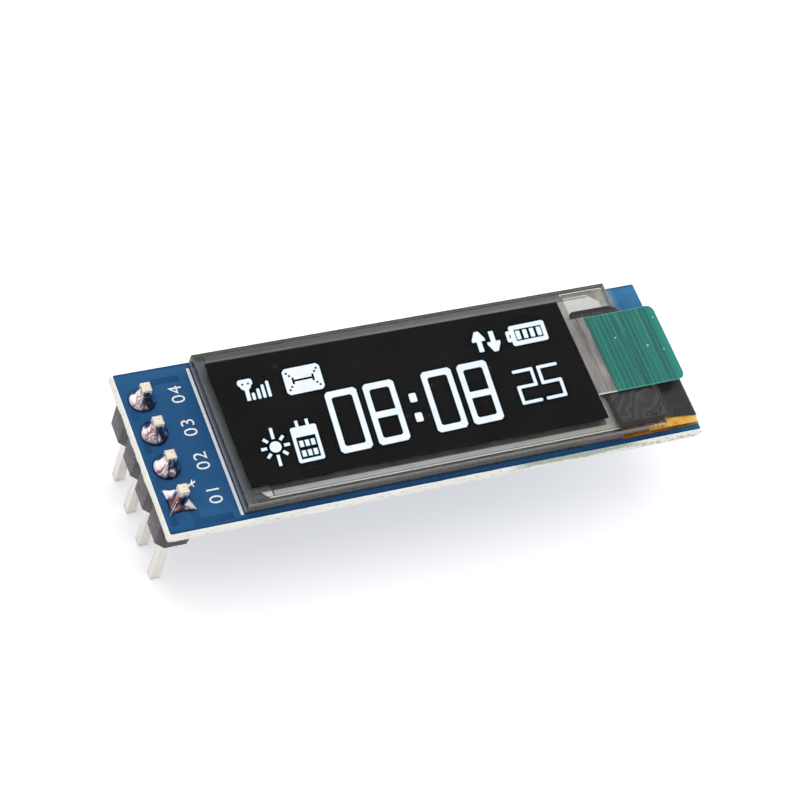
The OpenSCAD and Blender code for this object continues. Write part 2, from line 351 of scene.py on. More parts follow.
def makeMask():
    finish = Finish("boardMask", {"Roughness": 0.4, "Specular IOR Level": 0.06})
    x, y = finish.along("X"), finish.along("Y")
    patches = finish.noise(0.12, 2, 0.5)
    blue = finish.ramp(
        patches, [(0.3, rgb(34, 82, 128)), (0.55, rgb(42, 90, 136)), (0.75, rgb(50, 100, 146))],
    )
    # painted sheen: the mask is drawn lighter at the far end towards the back, and teal at the front corner
    # of the far end
    farEndSheen = finish.span(x, boardHigh.x - 9, boardHigh.x - 0.5)
    backSide = finish.span(y, 1.0, 5.5)
    pale = finish.cover(blue, rgb(66, 128, 174), farEndSheen, backSide)
    frontCornerSheen = finish.times(
        finish.span(x, boardHigh.x - 2.8, boardHigh.x - 0.8), finish.span(y, -4.6, -5.4),
    )
    tealSheen = finish.cover(pale, rgb(40, 128, 170), frontCornerSheen, 0.8)
    # painted light beside the glass, a pale caustic of light through it, and painted shade, a darker rim
    # along the front and rear edges of the board's top
    causticGrain = finish.noise(0.9, 3, 0.6, (1.5, 0.6, 1), 0.6)
    besideGlass = finish.times(
        finish.between(x, glassHigh.x - 0.2, glassHigh.x + 0.8, 0.4), finish.span(y, 3.4, 4.6),
    )
    causticShare = finish.times(besideGlass, finish.span(causticGrain, 0.3, 0.6, 0.35, 0.85))
    withCaustic = finish.mix(causticShare, tealSheen, rgb(150, 182, 206))
    rim = finish.maths("MAXIMUM", finish.span(y, -5.7, -5.95), finish.span(y, 5.8, 5.95))
    dark = finish.cover(withCaustic, rgb(14, 44, 82), rim, 0.55)
    weave = finish.noise(1.6, 4, 0.6)
    finish.colour(finish.mix(finish.span(weave, 0.35, 0.75, 0.0, 0.16), dark, rgb(14, 48, 92)))
    finish.roughness(finish.noise(3.0, 3), 0.26, 0.42)
    finish.bump(weave, 0.12, 0.02)
    return finish.material


def makeFibreglass():
    finish = Finish("boardFibreglass", {"Roughness": 0.75, "Specular IOR Level": 0.25})
    alongEdge = finish.noise(2.2, 5, 0.65, (0.35, 0.35, 2.2))
    cream = finish.ramp(
        alongEdge, [(0.3, rgb(232, 230, 220)), (0.42, rgb(250, 249, 243)), (0.7, rgb(255, 255, 253))],
    )
    height, x = finish.along("Z"), finish.along("X")
    middle = finish.between(height, boardLow.z + 0.15, boardLow.z + 0.8, 0.1)
    yarns = finish.noise(4.2, 3, 0.6, (0.55, 0.55, 2.0), 0.8, (3, 1, 7))
    towardEnd = finish.span(x, 29.0, 33.0, 0.64, 0.56)
    cut = finish.maths("SUBTRACT", yarns, towardEnd)
    specks = finish.times(finish.span(cut, 0.0, 0.03), middle)
    brownish = finish.ramp(
        finish.noise(2.5, 2, 0.5, (1, 1, 1), 0.0, (5, 5, 2)),
        [(0.4, rgb(104, 90, 76)), (0.6, rgb(58, 60, 62))],
    )
    dark = finish.cover(cream, brownish, specks, 0.8)
    footLine = finish.span(height, boardLow.z + 0.14, boardLow.z + 0.02)
    foot = finish.cover(dark, rgb(186, 184, 172), footLine, 0.45)
    atStart = finish.span(x, boardLow.x + 0.12, boardLow.x - 0.02)
    tinted = finish.cover(foot, rgb(232, 238, 214), atStart, 0.5)
    fibre = finish.noise(9, 3, 0.6, (0.5, 0.5, 1.5), offset=(9, 4, 2))
    torn = finish.between(x, 23.0, 31.8, 0.8)
    upper = finish.span(height, boardLow.z + 0.45, boardLow.z + 0.68)
    patch = finish.times(finish.times(torn, upper), finish.span(finish.along("Y"), 0.5, 0.0))
    green = finish.ramp(
        fibre, [(0.35, rgb(120, 138, 122)), (0.55, rgb(160, 176, 158)), (0.75, rgb(220, 226, 212))],
    )
    finish.colour(finish.cover(tinted, green, patch, 0.8))
    finish.bump(finish.noise(8, 4, 0.6, (0.4, 0.4, 1.3)), 0.5, 0.05)
    return finish.material


def snapShape(place):
    # how far the snapped edge stands out at a height, and how ragged it is there
    level = (place.z - boardLow.z) / (boardHigh.z - boardLow.z)
    web = min(1.0, max(0.0, 1 - (abs(level - 0.5) - 0.2) / 0.3))
    coarse = noise.noise(place * 0.9 + Vector((3, 7, 1)))
    fine = noise.noise(place * 4.5 + Vector((8, 2, 5)))
    notch = max(0.0, noise.noise(place * 2.1 + Vector((1, 9, 4))) - 0.25)
    return web * board["webOut"] * (0.7 + 0.3 * coarse), web, coarse * 0.4 + fine * 0.7 - notch * 2.2


def makeBoard():
    out = Vector((board["webOut"], board["webOut"], 0))
    low, high = boardLow + out, boardHigh - out
    thickness = high.z - low.z
    bm = bmesh.new()
    addBox(bm, low, high)
    bmesh.ops.bevel(
        bm, geom=[e for e in bm.edges if abs(e.verts[0].co.z - e.verts[1].co.z) > 0.5 * thickness],
        offset=board["cornerRound"], segments=3, profile=0.5, affect="EDGES", material=-1,
    )
    for face in bm.faces:
        face.material_index = 0 if abs(face.normal.z) > 0.5 else 1
    cutAcross(bm, "z", [low.z + thickness * s for s in (0.12, 0.3, 0.42, 0.55, 0.7, 0.88)])
    longEdges = [e for e in bm.edges if abs(e.verts[0].co.x - e.verts[1].co.x) > 30]
    cuts = round((high.x - low.x) / board["edgePitch"])
    bmesh.ops.subdivide_edges(bm, edges=longEdges, cuts=cuts, use_grid_fill=True)
    sideEdges = [e for e in bm.edges if abs(e.verts[0].co.y - e.verts[1].co.y) > 9
                 and min(abs(e.verts[0].co.x - low.x), abs(e.verts[0].co.x - high.x)) < 0.001]
    bmesh.ops.subdivide_edges(
        bm, edges=sideEdges, cuts=round((high.y - low.y) / board["edgePitch"]), use_grid_fill=True,
    )
    middle = (low + high) / 2
    half = (high - low) / 2
    for vert in bm.verts:
        sideX = (vert.co.x - middle.x) / half.x
        sideY = (vert.co.y - middle.y) / half.y
        if max(abs(sideX), abs(sideY)) < 0.985:
            continue
        stand, web, ragged = snapShape(vert.co)
        atFace = abs(abs(vert.co.z - middle.z) - half.z) < 0.001
        amount = stand + ragged * board["snapRoughness"] * (0.35 if atFace else 1.0 + web * 0.5)
        amount = min(amount, board["webOut"] + 0.03)
        if abs(sideX) > 0.995:
            vert.co.x += math.copysign(amount, sideX)
        if abs(sideY) > 0.985:
            vert.co.y += math.copysign(amount, sideY)
        if atFace and vert.co.z < middle.z:
            vert.co.z += abs(ragged) * 0.1
    closeUp(bm)
    return finishPiece("board", bm, [boardMask, boardFibreglass], ["circuit_board"], 35)


boardMask = makeMask()
boardFibreglass = makeFibreglass()
makeBoard()


printed = {
    "lineX": 3.67,
    "lineEnds": (-5.62, 5.58),
    "lineWidth": 0.21,
    "inkThickness": 0.012,
    "numbersX": 2.42,
    "textSize": 1.28,
    "textSpacing": 1.12,
}


def makePrintLine():
    half = printed["lineWidth"] / 2
    front, back = printed["lineEnds"]
    x = printed["lineX"]
    corners = [(x - half, front), (x + half, front), (x + half, back), (x - half, back)]
    bm = bmesh.new()
    face = addOutline(bm, roundCorners(corners, [half * 0.95] * 4), boardHigh.z + 0.002)
    thicken(bm, [face], printed["inkThickness"])
    closeUp(bm)
    finishPiece("print_line", bm, [printInk])


def makeNumber(index, pinName):
    low, high = cadEdges(pinName)
    curve = bpy.data.curves.new("pinNumber", "FONT")
    curve.body = f"{index:02d}"
    curve.size = printed["textSize"]
    curve.space_character = printed["textSpacing"]
    curve.align_x, curve.align_y = "CENTER", "CENTER"
    curve.offset = -0.004
    text = bpy.data.objects.new("pinNumber", curve)
    bpy.context.scene.collection.objects.link(text)
    bpy.context.view_layer.update()
    mesh = bpy.data.meshes.new_from_object(text.evaluated_get(bpy.context.evaluated_depsgraph_get()))
    bpy.data.objects.remove(text)
    bm = bmesh.new()
    bm.from_mesh(mesh)
    bmesh.ops.remove_doubles(bm, verts=bm.verts, dist=0.001)
    for face in bm.faces:
        face.normal_update()
    thicken(bm, bm.faces[:], printed["inkThickness"])
    place = Vector((printed["numbersX"], (low.y + high.y) / 2, boardHigh.z + 0.002))
    bmesh.ops.transform(
        bm, matrix=Matrix.Translation(place) @ Matrix.Rotation(math.radians(90), 4, "Z"), verts=bm.verts,
    )
    closeUp(bm)
    finishPiece(f"print_number_{index}", bm, [printInk], smoothBelow=0)


printInk = makePlain(
    "printInk", rgb(228, 230, 230), rgb(250, 251, 252), (6, 3),
    {"Roughness": 0.55, "Specular IOR Level": 0.3}, (0.15, 0.01),
)
makePrintLine()
for number, pinName in enumerate(pinNames, 1):
    makeNumber(number, pinName)
print("board and print made")


copper = {"width": 0.42, "thickness": 0.022}


def makeRaisedMask():
    finish = Finish("maskOverCopper", {"Roughness": 0.4, "Specular IOR Level": 0.06})
    patches = finish.noise(0.5, 3)
    finish.colour(finish.ramp(patches, [(0.3, rgb(26, 70, 114)), (0.7, rgb(36, 82, 128))]))
    finish.bump(finish.noise(2.5, 3), 0.1, 0.01)
    return finish.material


def addTrack(bm, points, width, z, thickness):
    # a run of straight lengths that share mitred corners
    half = width / 2
    left, right = [], []
    for i, point in enumerate(points):
        here = Vector(point)
        ahead = (Vector(points[i + 1]) - here).normalized() if i + 1 < len(points) else None
        behind = (here - Vector(points[i - 1])).normalized() if i else None
        a, b = behind or ahead, ahead or behind
        sideA, sideB = Vector((-a.y, a.x)), Vector((-b.y, b.x))
        side = (sideA + sideB) / (1 + sideA.dot(sideB)) * half
        left.append(here + side)
        right.append(here - side)
    face = addOutline(bm, right + left[::-1], z)
    thicken(bm, [face], thickness)


def makeTopTracks():
    bm = bmesh.new()
    z = boardHigh.z - 0.004
    for i, name in enumerate(padNames):
        low, high = cadEdges(name)
        y = (low.y + high.y) / 2
        drop = 0.62 if i else 0.9
        addTrack(
            bm, [(-0.3, y - 0.3), (-0.75, y - 0.75), (-0.75, y - 0.75 - drop)], copper["width"], z,
            copper["thickness"],
        )
    addTrack(bm, [(0.3, -4.2), (0.75, -4.65), (0.75, -5.5), (3.1, -5.5)], 0.5, z, copper["thickness"])
    addTrack(bm, [(0.5, 4.3), (1.2, 5.0), (2.9, 5.0)], 0.4, z, copper["thickness"])
    closeUp(bm)
    finishPiece("top_tracks", bm, [maskOverCopper], smoothBelow=0)


maskOverCopper = makeRaisedMask()
makeTopTracks()


solder = {
    "collarHeight": 0.34,
    "climbHeight": 1.12,
    "climbReach": 0.22,
    "neckRadius": 0.37,
    "ringSteps": 48,
    "wobble": 0.05,
}


def aroundPin(finish):
    # place round the nearest pin: across the row, along the row, turn (0 to 1) and distance
    x = finish.along("X")
    pitch = cadEdges(pinNames[1])[0].y - cadEdges(pinNames[0])[0].y
    middle = (cadEdges(pinNames[0])[0].y + cadEdges(pinNames[0])[1].y) / 2
    wrap = finish.node("ShaderNodeMath", operation="WRAP")
    finish.link(finish.maths("SUBTRACT", finish.along("Y"), middle), wrap.inputs[0])
    wrap.inputs[1].default_value = pitch / 2
    wrap.inputs[2].default_value = -pitch / 2
    y = wrap.outputs[0]
    angle = finish.maths("ARCTAN2", y, x)
    turn = finish.plus(finish.maths("DIVIDE", angle, math.tau), 0.5)
    distance = finish.maths("SQRT", finish.plus(finish.times(x, x), finish.times(y, y)))
    return x, y, turn, distance


def makeSolderMetal():
    finish = Finish("solderMetal", {"Metallic": 1.0, "Roughness": 0.14})
    turn, distance = aroundPin(finish)[2:]
    swirl = finish.noise(1.3, 3, 0.55, (1, 1, 0.8), 0.5)
    bent = finish.plus(turn, finish.span(swirl, 0.3, 0.7, -0.09, 0.09))
    # painted reflections: a pale painted highlight on the side away from the glass, a flux stain, a painted
    # bright streak, then painted dark reflection
    shades = finish.ramp(bent, [
        (0.0, rgb(236, 228, 232)), (0.075, rgb(226, 216, 222)), (0.11, rgb(170, 116, 108)),
        (0.13, rgb(140, 78, 68)),
        (0.145, rgb(236, 230, 234)), (0.2, rgb(96, 84, 100)), (0.225, rgb(226, 220, 228)),
        (0.26, rgb(104, 94, 114)),
        (0.36, rgb(112, 106, 122)), (0.44, rgb(176, 170, 182)), (0.5, rgb(84, 82, 98)),
        (0.64, rgb(96, 90, 102)),
        (0.74, rgb(106, 92, 100)), (0.84, rgb(190, 180, 188)), (0.92, rgb(240, 234, 236)),
        (1.0, rgb(236, 228, 232)),
    ])
    # painted white glints and painted dark patches of reflection, in blotches
    blotch = finish.noise(2.6, 2, 0.5, (1, 1, 0.7), 0.8, (7, 3, 2))
    glintSpots = finish.mix(finish.span(blotch, 0.6, 0.64, 0.0, 0.85), shades, rgb(240, 236, 240))
    shadow = finish.mix(finish.span(blotch, 0.4, 0.34, 0.0, 0.6), glintSpots, rgb(70, 60, 72))
    # painted shade along the rim and at the neck where the solder meets the pin
    rim = finish.span(distance, 0.74, 0.9)
    rimShaded = finish.cover(shadow, rgb(82, 74, 92), rim, 0.7)
    neck = finish.span(distance, 0.46, 0.38)
    finish.colour(finish.cover(rimShaded, rgb(112, 98, 102), neck, 0.55))
    finish.roughness(finish.noise(4, 3), 0.1, 0.22)
    finish.bump(finish.noise(2.4, 2), 0.2, 0.05)
    return finish.material


def makeStarMetal():
    # the joint on the square pad: painted highlights on the ridges towards the corners, painted shade in the
    # hollows between
    finish = Finish("starSolder", {"Metallic": 1.0, "Roughness": 0.16})
    x, y, turn, distance = aroundPin(finish)
    wobble = finish.noise(1.6, 3, 0.55, (1, 1, 0.8), 0.6)
    ax, ay = finish.maths("ABSOLUTE", x), finish.maths("ABSOLUTE", y)
    off = finish.maths("ABSOLUTE", finish.maths("SUBTRACT", ax, ay))
    shifted = finish.plus(off, finish.span(wobble, 0.3, 0.7, -0.22, 0.22))
    shades = finish.ramp(shifted, [
        (0.0, rgb(242, 236, 238)), (0.2, rgb(232, 222, 226)), (0.3, rgb(176, 160, 168)),
        (0.42, rgb(92, 76, 88)),
        (0.6, rgb(64, 56, 72)), (0.8, rgb(128, 118, 134)),
    ])
    flux = finish.times(finish.between(turn, 0.06, 0.19, 0.03), finish.span(distance, 0.36, 0.46))
    stained = finish.cover(shades, rgb(150, 88, 78), flux, finish.span(wobble, 0.44, 0.52, 0.2, 0.9))
    # a painted bluish dark reflection on one side
    coolReflection = finish.times(finish.between(turn, 0.36, 0.62, 0.05), 0.6)
    finish.colour(finish.mix(coolReflection, stained, rgb(70, 76, 104)))
    finish.roughness(finish.noise(4, 3), 0.1, 0.26)
    finish.bump(finish.noise(2.4, 2), 0.25, 0.05)
    return finish.material


def domeHeight(share, neckShare):
    # the solder rounds over at the rim and draws up the pin in a hollow curve
    collar = solder["collarHeight"] * math.sqrt(max(0.0, 1 - share ** 3))
    return collar + solder["climbHeight"] * math.exp(-max(0.0, share - neckShare) / solder["climbReach"])


def makeRoundJoint(index, name):
    low, high = cadEdges(name)
    centre = Vector(((low.x + high.x) / 2, (low.y + high.y) / 2, boardHigh.z))
    radius = (high.x - low.x) / 2
    neck = solder["neckRadius"]
    inner = 0.3
    bm = bmesh.new()
    count = 16
    ring = []
    for k in range(count + 1):
        share = (neck + (radius - neck) * k / count) / radius
        ring.append(bm.verts.new((share * radius, 0, domeHeight(share, neck / radius))))
    ring.append(bm.verts.new((radius, 0, -0.02)))
    ring.append(bm.verts.new((inner, 0, -0.02)))
    ring.append(bm.verts.new((inner, 0, ring[0].co.z - 0.02)))
    chain = [bm.edges.new(pair) for pair in zip(ring, ring[1:] + ring[:1])]
    bmesh.ops.spin(
        bm, geom=ring + chain, cent=(0, 0, 0), axis=(0, 0, 1), dvec=(0, 0, 0),
        angle=math.tau, steps=solder["ringSteps"], use_merge=True,
    )
    for vert in bm.verts:
        flat = Vector((vert.co.x, vert.co.y, 0))
        bend = noise.noise(Vector((vert.co.x * 1.3, vert.co.y * 1.3, index * 5.0)))
        if flat.length > 0.5:
            vert.co += flat * bend * solder["wobble"]
        if vert.co.z > 0.05:
            vert.co.z *= 1 + bend * 0.16
    bmesh.ops.translate(bm, vec=centre, verts=bm.verts)
    closeUp(bm)
    finishPiece(f"solder_{index}", bm, [solderMetal], [name], 60)


def makeSquareJoint(index, name):
    # solder on a square pad: ridges run to the four corners and the sides sink between them
    low, high = cadEdges(name)
    centre = Vector(((low.x + high.x) / 2, (low.y + high.y) / 2, boardHigh.z))
    half = (high.x - low.x) / 2
    bm = bmesh.new()
    made = bmesh.ops.create_grid(bm, x_segments=40, y_segments=40, size=half)["verts"]
    moved = thicken(bm, facesOf(made), 0.03)
    for vert in moved:
        x, y = vert.co.x / half, vert.co.y / half
        reach = max(abs(x), abs(y))
        diagonal = min(abs(x), abs(y)) / max(reach, 0.001)
        fall = max(0.0, 1 - reach)
        distance = math.hypot(vert.co.x, vert.co.y)
        ridge = 0.42 * diagonal ** 3 * fall ** 0.5
        hill = 0.3 * math.sqrt(fall) * (0.4 + 0.6 * diagonal)
        climb = solder["climbHeight"] * 0.92 * math.exp(-max(0.0, distance - solder["neckRadius"]) / 0.2)
        vert.co.z += ridge + hill + climb * min(1.0, fall * 6)
        vert.co.z *= 1 + 0.2 * noise.noise(Vector((x * 1.6, y * 1.6, 2.0)))
        vert.co.z = min(vert.co.z, 1.46)
    for vert in bm.verts:
        x, y = vert.co.x / half, vert.co.y / half
        reach = max(abs(x), abs(y))
        diagonal = min(abs(x), abs(y)) / max(reach, 0.001)
        pull = 1 - 0.17 * (1 - diagonal ** 2) * reach ** 2
        vert.co.x *= pull
        vert.co.y *= pull
    bmesh.ops.translate(bm, vec=centre, verts=bm.verts)
    closeUp(bm)
    finishPiece(f"solder_{index}", bm, [starSolder], [name], 60)


def makeSpike(pinName):
    # a small branched whisker of solder left beside the first pin's top
    low, high = cadEdges(pinName)
    start = Vector((high.x - 0.05, (low.y + high.y) / 2 + 0.1, high.z - 0.22))
    joint = start + Vector((0.3, 0.08, 0.05))
    branches = [(start, joint, 0.1, 0.07), (joint, joint + Vector((0.2, 0.06, 0.12)), 0.08, 0.045),
                (joint, joint + Vector((0.06, 0.2, 0.1)), 0.07, 0.04),
                (joint, joint + Vector((0.1, -0.18, -0.04)), 0.06, 0.035)]
    bm = bmesh.new()
    for begin, end, thick, thin in branches:
        direction = end - begin
        turn = Vector((0, 0, 1)).rotation_difference(direction.normalized()).to_matrix().to_4x4()
        place = Matrix.Translation((begin + end) / 2) @ turn
        bmesh.ops.create_cone(
            bm, cap_ends=True, segments=10, radius1=thick, radius2=thin, depth=direction.length, matrix=place
        )
        bmesh.ops.create_icosphere(bm, subdivisions=2, radius=thin * 1.25, matrix=Matrix.Translation(end))
    closeUp(bm)
    finishPiece("solder_whisker", bm, [whiskerTin], smoothBelow=60)


solderMetal = makeSolderMetal()
starSolder = makeStarMetal()
whiskerTin = makePlain(
    "whiskerTin", rgb(206, 200, 200), rgb(244, 240, 238), (6, 3),
    {"Metallic": 0.6, "Roughness": 0.28}, (0.3, 0.02),
)
makeSquareJoint(1, padNames[0])
for number, name in enumerate(padNames[1:], 2):
    makeRoundJoint(number, name)
makeSpike(pinNames[0])
print("solder made")


header = {"segmentBevel": 0.07}


def makeStripPlastic():
    finish = Finish("stripPlastic", {"Roughness": 0.45, "Specular IOR Level": 0.35})
    mottled = finish.noise(2.2, 4, 0.6)
    plain = finish.ramp(mottled, [(0.3, rgb(58, 54, 58)), (0.6, rgb(80, 76, 80)), (0.8, rgb(104, 99, 103))])
    # the front cut end is drawn darker: painted shade
    front = finish.span(finish.along("Y"), stripLow.y + 0.55, stripLow.y + 0.2)
    finish.colour(finish.cover(plain, rgb(40, 34, 36), front, 0.75))
    finish.roughness(finish.noise(5, 2), 0.36, 0.58)
    finish.bump(finish.noise(9, 4, 0.6), 0.35, 0.02)
    return finish.material


def makePinMetal():
    finish = Finish("pinMetal", {"Metallic": 0.35, "Roughness": 0.36, "Specular IOR Level": 0.5})
    drawn = finish.noise(1.6, 3, 0.5, (2.0, 2.0, 0.2))
    tin = finish.ramp(
        drawn, [(0.3, rgb(226, 219, 212)), (0.55, rgb(240, 234, 228)), (0.8, rgb(250, 247, 242))],
    )
    height = finish.along("Z")
    top = finish.span(height, boardHigh.z + 1.2, boardHigh.z + 1.7)
    warm = finish.cover(tin, rgb(246, 234, 206), top, 0.6)
    distance = aroundPin(finish)[3]
    # painted shade in the dimple on the pin's top
    dimple = finish.times(
        finish.span(distance, 0.1, 0.05), finish.span(height, boardHigh.z + 1.75, boardHigh.z + 1.79),
    )
    dimpleShaded = finish.cover(warm, rgb(150, 120, 92), dimple, 0.5)
    tip = finish.span(height, -5.5, -5.95)
    finish.colour(finish.cover(dimpleShaded, rgb(150, 148, 150), tip, 0.6))
    finish.roughness(drawn, 0.28, 0.42)
    finish.bump(drawn, 0.05, 0.02)
    return finish.material


def makeStrip():
    bm = bmesh.new()
    bm.from_mesh(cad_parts["header_strip"].data)
    bmesh.ops.scale(bm, vec=(1 / mm, 1 / mm, 1 / mm), verts=bm.verts)
    bmesh.ops.remove_doubles(bm, verts=bm.verts, dist=0.001)
    bmesh.ops.dissolve_limit(bm, angle_limit=math.radians(1), verts=bm.verts, edges=bm.edges)
    outer = [e for e in bm.edges if e.is_manifold and e.calc_face_angle(0) > 0.3 and e.is_convex]
    bmesh.ops.bevel(
        bm, geom=outer, offset=header["segmentBevel"], segments=3, profile=0.5, affect="EDGES", material=-1
    )
    finishPiece("header_strip_moulded", bm, [stripPlastic], ["header_strip"], 35)


stripPlastic = makeStripPlastic()
pinMetal = makePinMetal()
makeStrip()
for name in pinNames:
    dressNode(name, pinMetal)
print("header made")


glass = {"edgeBevel": 0.035, "chip": 0.02, "pitch": 0.22}


def makeClearGlass():
    finish = Finish("clearGlass", {"Roughness": 0.06, "Base Color": rgb(120, 124, 124)})
    haze = finish.noise(1.4, 4, 0.6)
    finish.colour(finish.ramp(haze, [(0.3, rgb(96, 100, 100)), (0.7, rgb(160, 164, 162))]))
    finish.seeThrough(finish.span(haze, 0.3, 0.8, 0.02, 0.12))
    gloss = finish.node("ShaderNodeBsdfGlossy")
    gloss.inputs["Roughness"].default_value = 0.05
    edge = finish.node("ShaderNodeFresnel")
    edge.inputs["IOR"].default_value = 1.28
    both = finish.node("ShaderNodeMixShader")
    first = finish.output.inputs["Surface"].links[0].from_socket
    finish.link(edge.outputs[0], both.inputs[0])
    finish.link(first, both.inputs[1])
    finish.link(gloss.outputs[0], both.inputs[2])
    finish.link(both.outputs[0], finish.output.inputs["Surface"])
    return finish.material


def makeGlassEdge(name, low, high, stops, tint=None, detail=None):
    # cut glass seen edge on: level bands from foot to top, painted light and shade, with streaks and chips
    # along them; the chips are drawn pale as painted glints
    finish = Finish(name, {"Roughness": 0.25, "Specular IOR Level": 0.35})
    height = finish.span(finish.along("Z"), low, high)
    streaks = finish.noise(2.6, 4, 0.6, (0.18, 0.18, 2.2))
    shifted = finish.plus(height, finish.span(streaks, 0.3, 0.7, -0.09, 0.09))
    bands = finish.ramp(shifted, stops)
    if tint:
        start, end, share, colour = tint
        bands = finish.mix(finish.span(finish.along("X"), start, end, 0.0, share), bands, colour)
    if detail:
        bands = detail(finish, bands)
    drawn = finish.noise(6, 3, 0.6, (0.12, 0.12, 2.0), offset=(6, 1, 3))
    lined = finish.mix(finish.span(drawn, 0.42, 0.3, 0.0, 0.35), bands, rgb(40, 38, 36))
    chips = finish.noise(7, 3, 0.7, (0.45, 0.45, 1.6), offset=(2, 8, 4))
    finish.colour(finish.mix(finish.span(chips, 0.68, 0.76, 0.0, 0.7), lined, rgb(196, 194, 188)))
    finish.roughness(chips, 0.18, 0.4)
    finish.bump(chips, 0.3, 0.02)
    return finish.material


def makePane(name, node, walls, faceMaterial):
    # walls: materials for the front, left, rear and far sides
    low, high = cadEdges(node)
    bm = bmesh.new()
    addBox(bm, low, high)
    for axis, a, b in (("x", low.x, high.x), ("y", low.y, high.y)):
        cutAcross(bm, axis, steps(a, b, glass["pitch"]))
    rim = [e for e in bm.edges if e.calc_face_angle(0) > 1.0
           and abs(e.verts[0].co.z - e.verts[1].co.z) < 0.01]
    bmesh.ops.bevel(
        bm, geom=rim, offset=glass["edgeBevel"], segments=2, profile=0.5, affect="EDGES", material=-1
    )
    for face in bm.faces:
        n = face.normal
        if abs(n.z) > 0.95:
            face.material_index = 0
        elif abs(n.y) > abs(n.x):
            face.material_index = 1 if n.y < 0 else 3
        else:
            face.material_index = 2 if n.x < 0 else 4
    for vert in bm.verts:
        # fine chipping along the cut edges
        nearTop = min(abs(vert.co.z - high.z), abs(vert.co.z - low.z)) < 0.08
        if not nearTop:
            continue
        bite = glass["chip"] * max(0.0, noise.noise(vert.co * 2.2) - 0.1)
        if abs(vert.co.y - low.y) < 0.06:
            vert.co.y += bite
        if abs(vert.co.y - high.y) < 0.06:
            vert.co.y -= bite
        if abs(vert.co.x - low.x) < 0.06:
            vert.co.x += bite
    closeUp(bm)
    return finishPiece(name, bm, [faceMaterial, *walls], [node], 35)


def makeRearTop():
    finish = Finish("rearGlassFace", {"Roughness": 0.25, "Specular IOR Level": 0.4})
    cloud = finish.noise(0.8, 3)
    finish.colour(finish.ramp(cloud, [(0.3, rgb(58, 60, 62)), (0.7, rgb(92, 93, 92))]))
    finish.bump(finish.noise(5, 3), 0.1, 0.01)
    return finish.material


def makeSealResin():
    finish = Finish("sealResin", {"Roughness": 0.4, "Specular IOR Level": 0.2})
    x, y = finish.along("X"), finish.along("Y")
    grains = finish.noise(7, 5, 0.75)
    # left side: bluish and glittering
    across = finish.plus(
        finish.span(x, glassLow.x, glassLow.x + 1.0), finish.span(grains, 0.3, 0.7, -0.05, 0.05),
    )
    bluish = finish.ramp(across, [
        (0.0, rgb(96, 100, 106)), (0.25, rgb(104, 112, 116)), (0.5, rgb(90, 100, 106)),
        (0.6, rgb(86, 90, 96)),
        (0.64, rgb(62, 64, 68)), (0.7, rgb(98, 100, 103)), (0.82, rgb(92, 94, 96)), (0.88, rgb(52, 54, 56)),
    ])
    speckled = finish.mix(finish.span(grains, 0.6, 0.72, 0.0, 0.5), bluish, rgb(150, 160, 164))
    sparks = finish.cells(2.4).outputs["Distance"]
    glint = finish.times(finish.span(sparks, 0.1, 0.04), finish.span(grains, 0.5, 0.6))
    left = finish.mix(glint, speckled, rgb(236, 238, 232))
    # front and rear sides: bands that run along the glass
    drawn = finish.noise(3, 4, 0.6, (0.1, 1.6, 1.0))
    wander = finish.span(drawn, 0.3, 0.7, -0.04, 0.04)
    rearward = finish.plus(finish.span(y, glassHigh.y - 1.0, glassHigh.y), wander)
    rear = finish.ramp(rearward, [
        (0.0, rgb(40, 40, 42)), (0.42, rgb(56, 56, 60)), (0.52, rgb(66, 66, 72)),
        (0.58, rgb(140, 140, 140)),
        (0.66, rgb(104, 106, 108)), (0.84, rgb(112, 113, 114)), (1.0, rgb(134, 134, 132)),
    ])
    lighter = finish.mix(finish.span(x, 8, 22, 0.0, 0.45), rear, rgb(168, 168, 164))
    frontward = finish.plus(finish.span(y, glassLow.y, glassLow.y + 1.0), wander)
    front = finish.ramp(frontward, [
        (0.0, rgb(110, 108, 104)), (0.24, rgb(104, 102, 98)), (0.33, rgb(62, 61, 60)),
        (0.46, rgb(56, 56, 56)), (0.6, rgb(84, 84, 80)),
    ])
    sides = finish.mix(finish.span(y, 0.0, 0.5), front, lighter)
    atStart = finish.span(x, glassLow.x + 1.0, glassLow.x + 0.9)
    finish.colour(finish.mix(atStart, sides, left))
    finish.bump(grains, 0.3, 0.02)
    return finish.material


def contactGold(finish, bands):
    # where the flex's contacts lie behind the front wall, with fine pale lines
    x = finish.along("X")
    dashes = finish.noise(5, 2, 0.5, (1.2, 0.3, 1.4), offset=(1, 1, 8))
    gold = finish.ramp(
        dashes, [(0.35, rgb(128, 92, 40)), (0.5, rgb(178, 140, 74)), (0.62, rgb(222, 196, 140))],
    )
    return finish.mix(finish.span(x, 32.6, 32.85), bands, gold)


clearGlass = makeClearGlass()
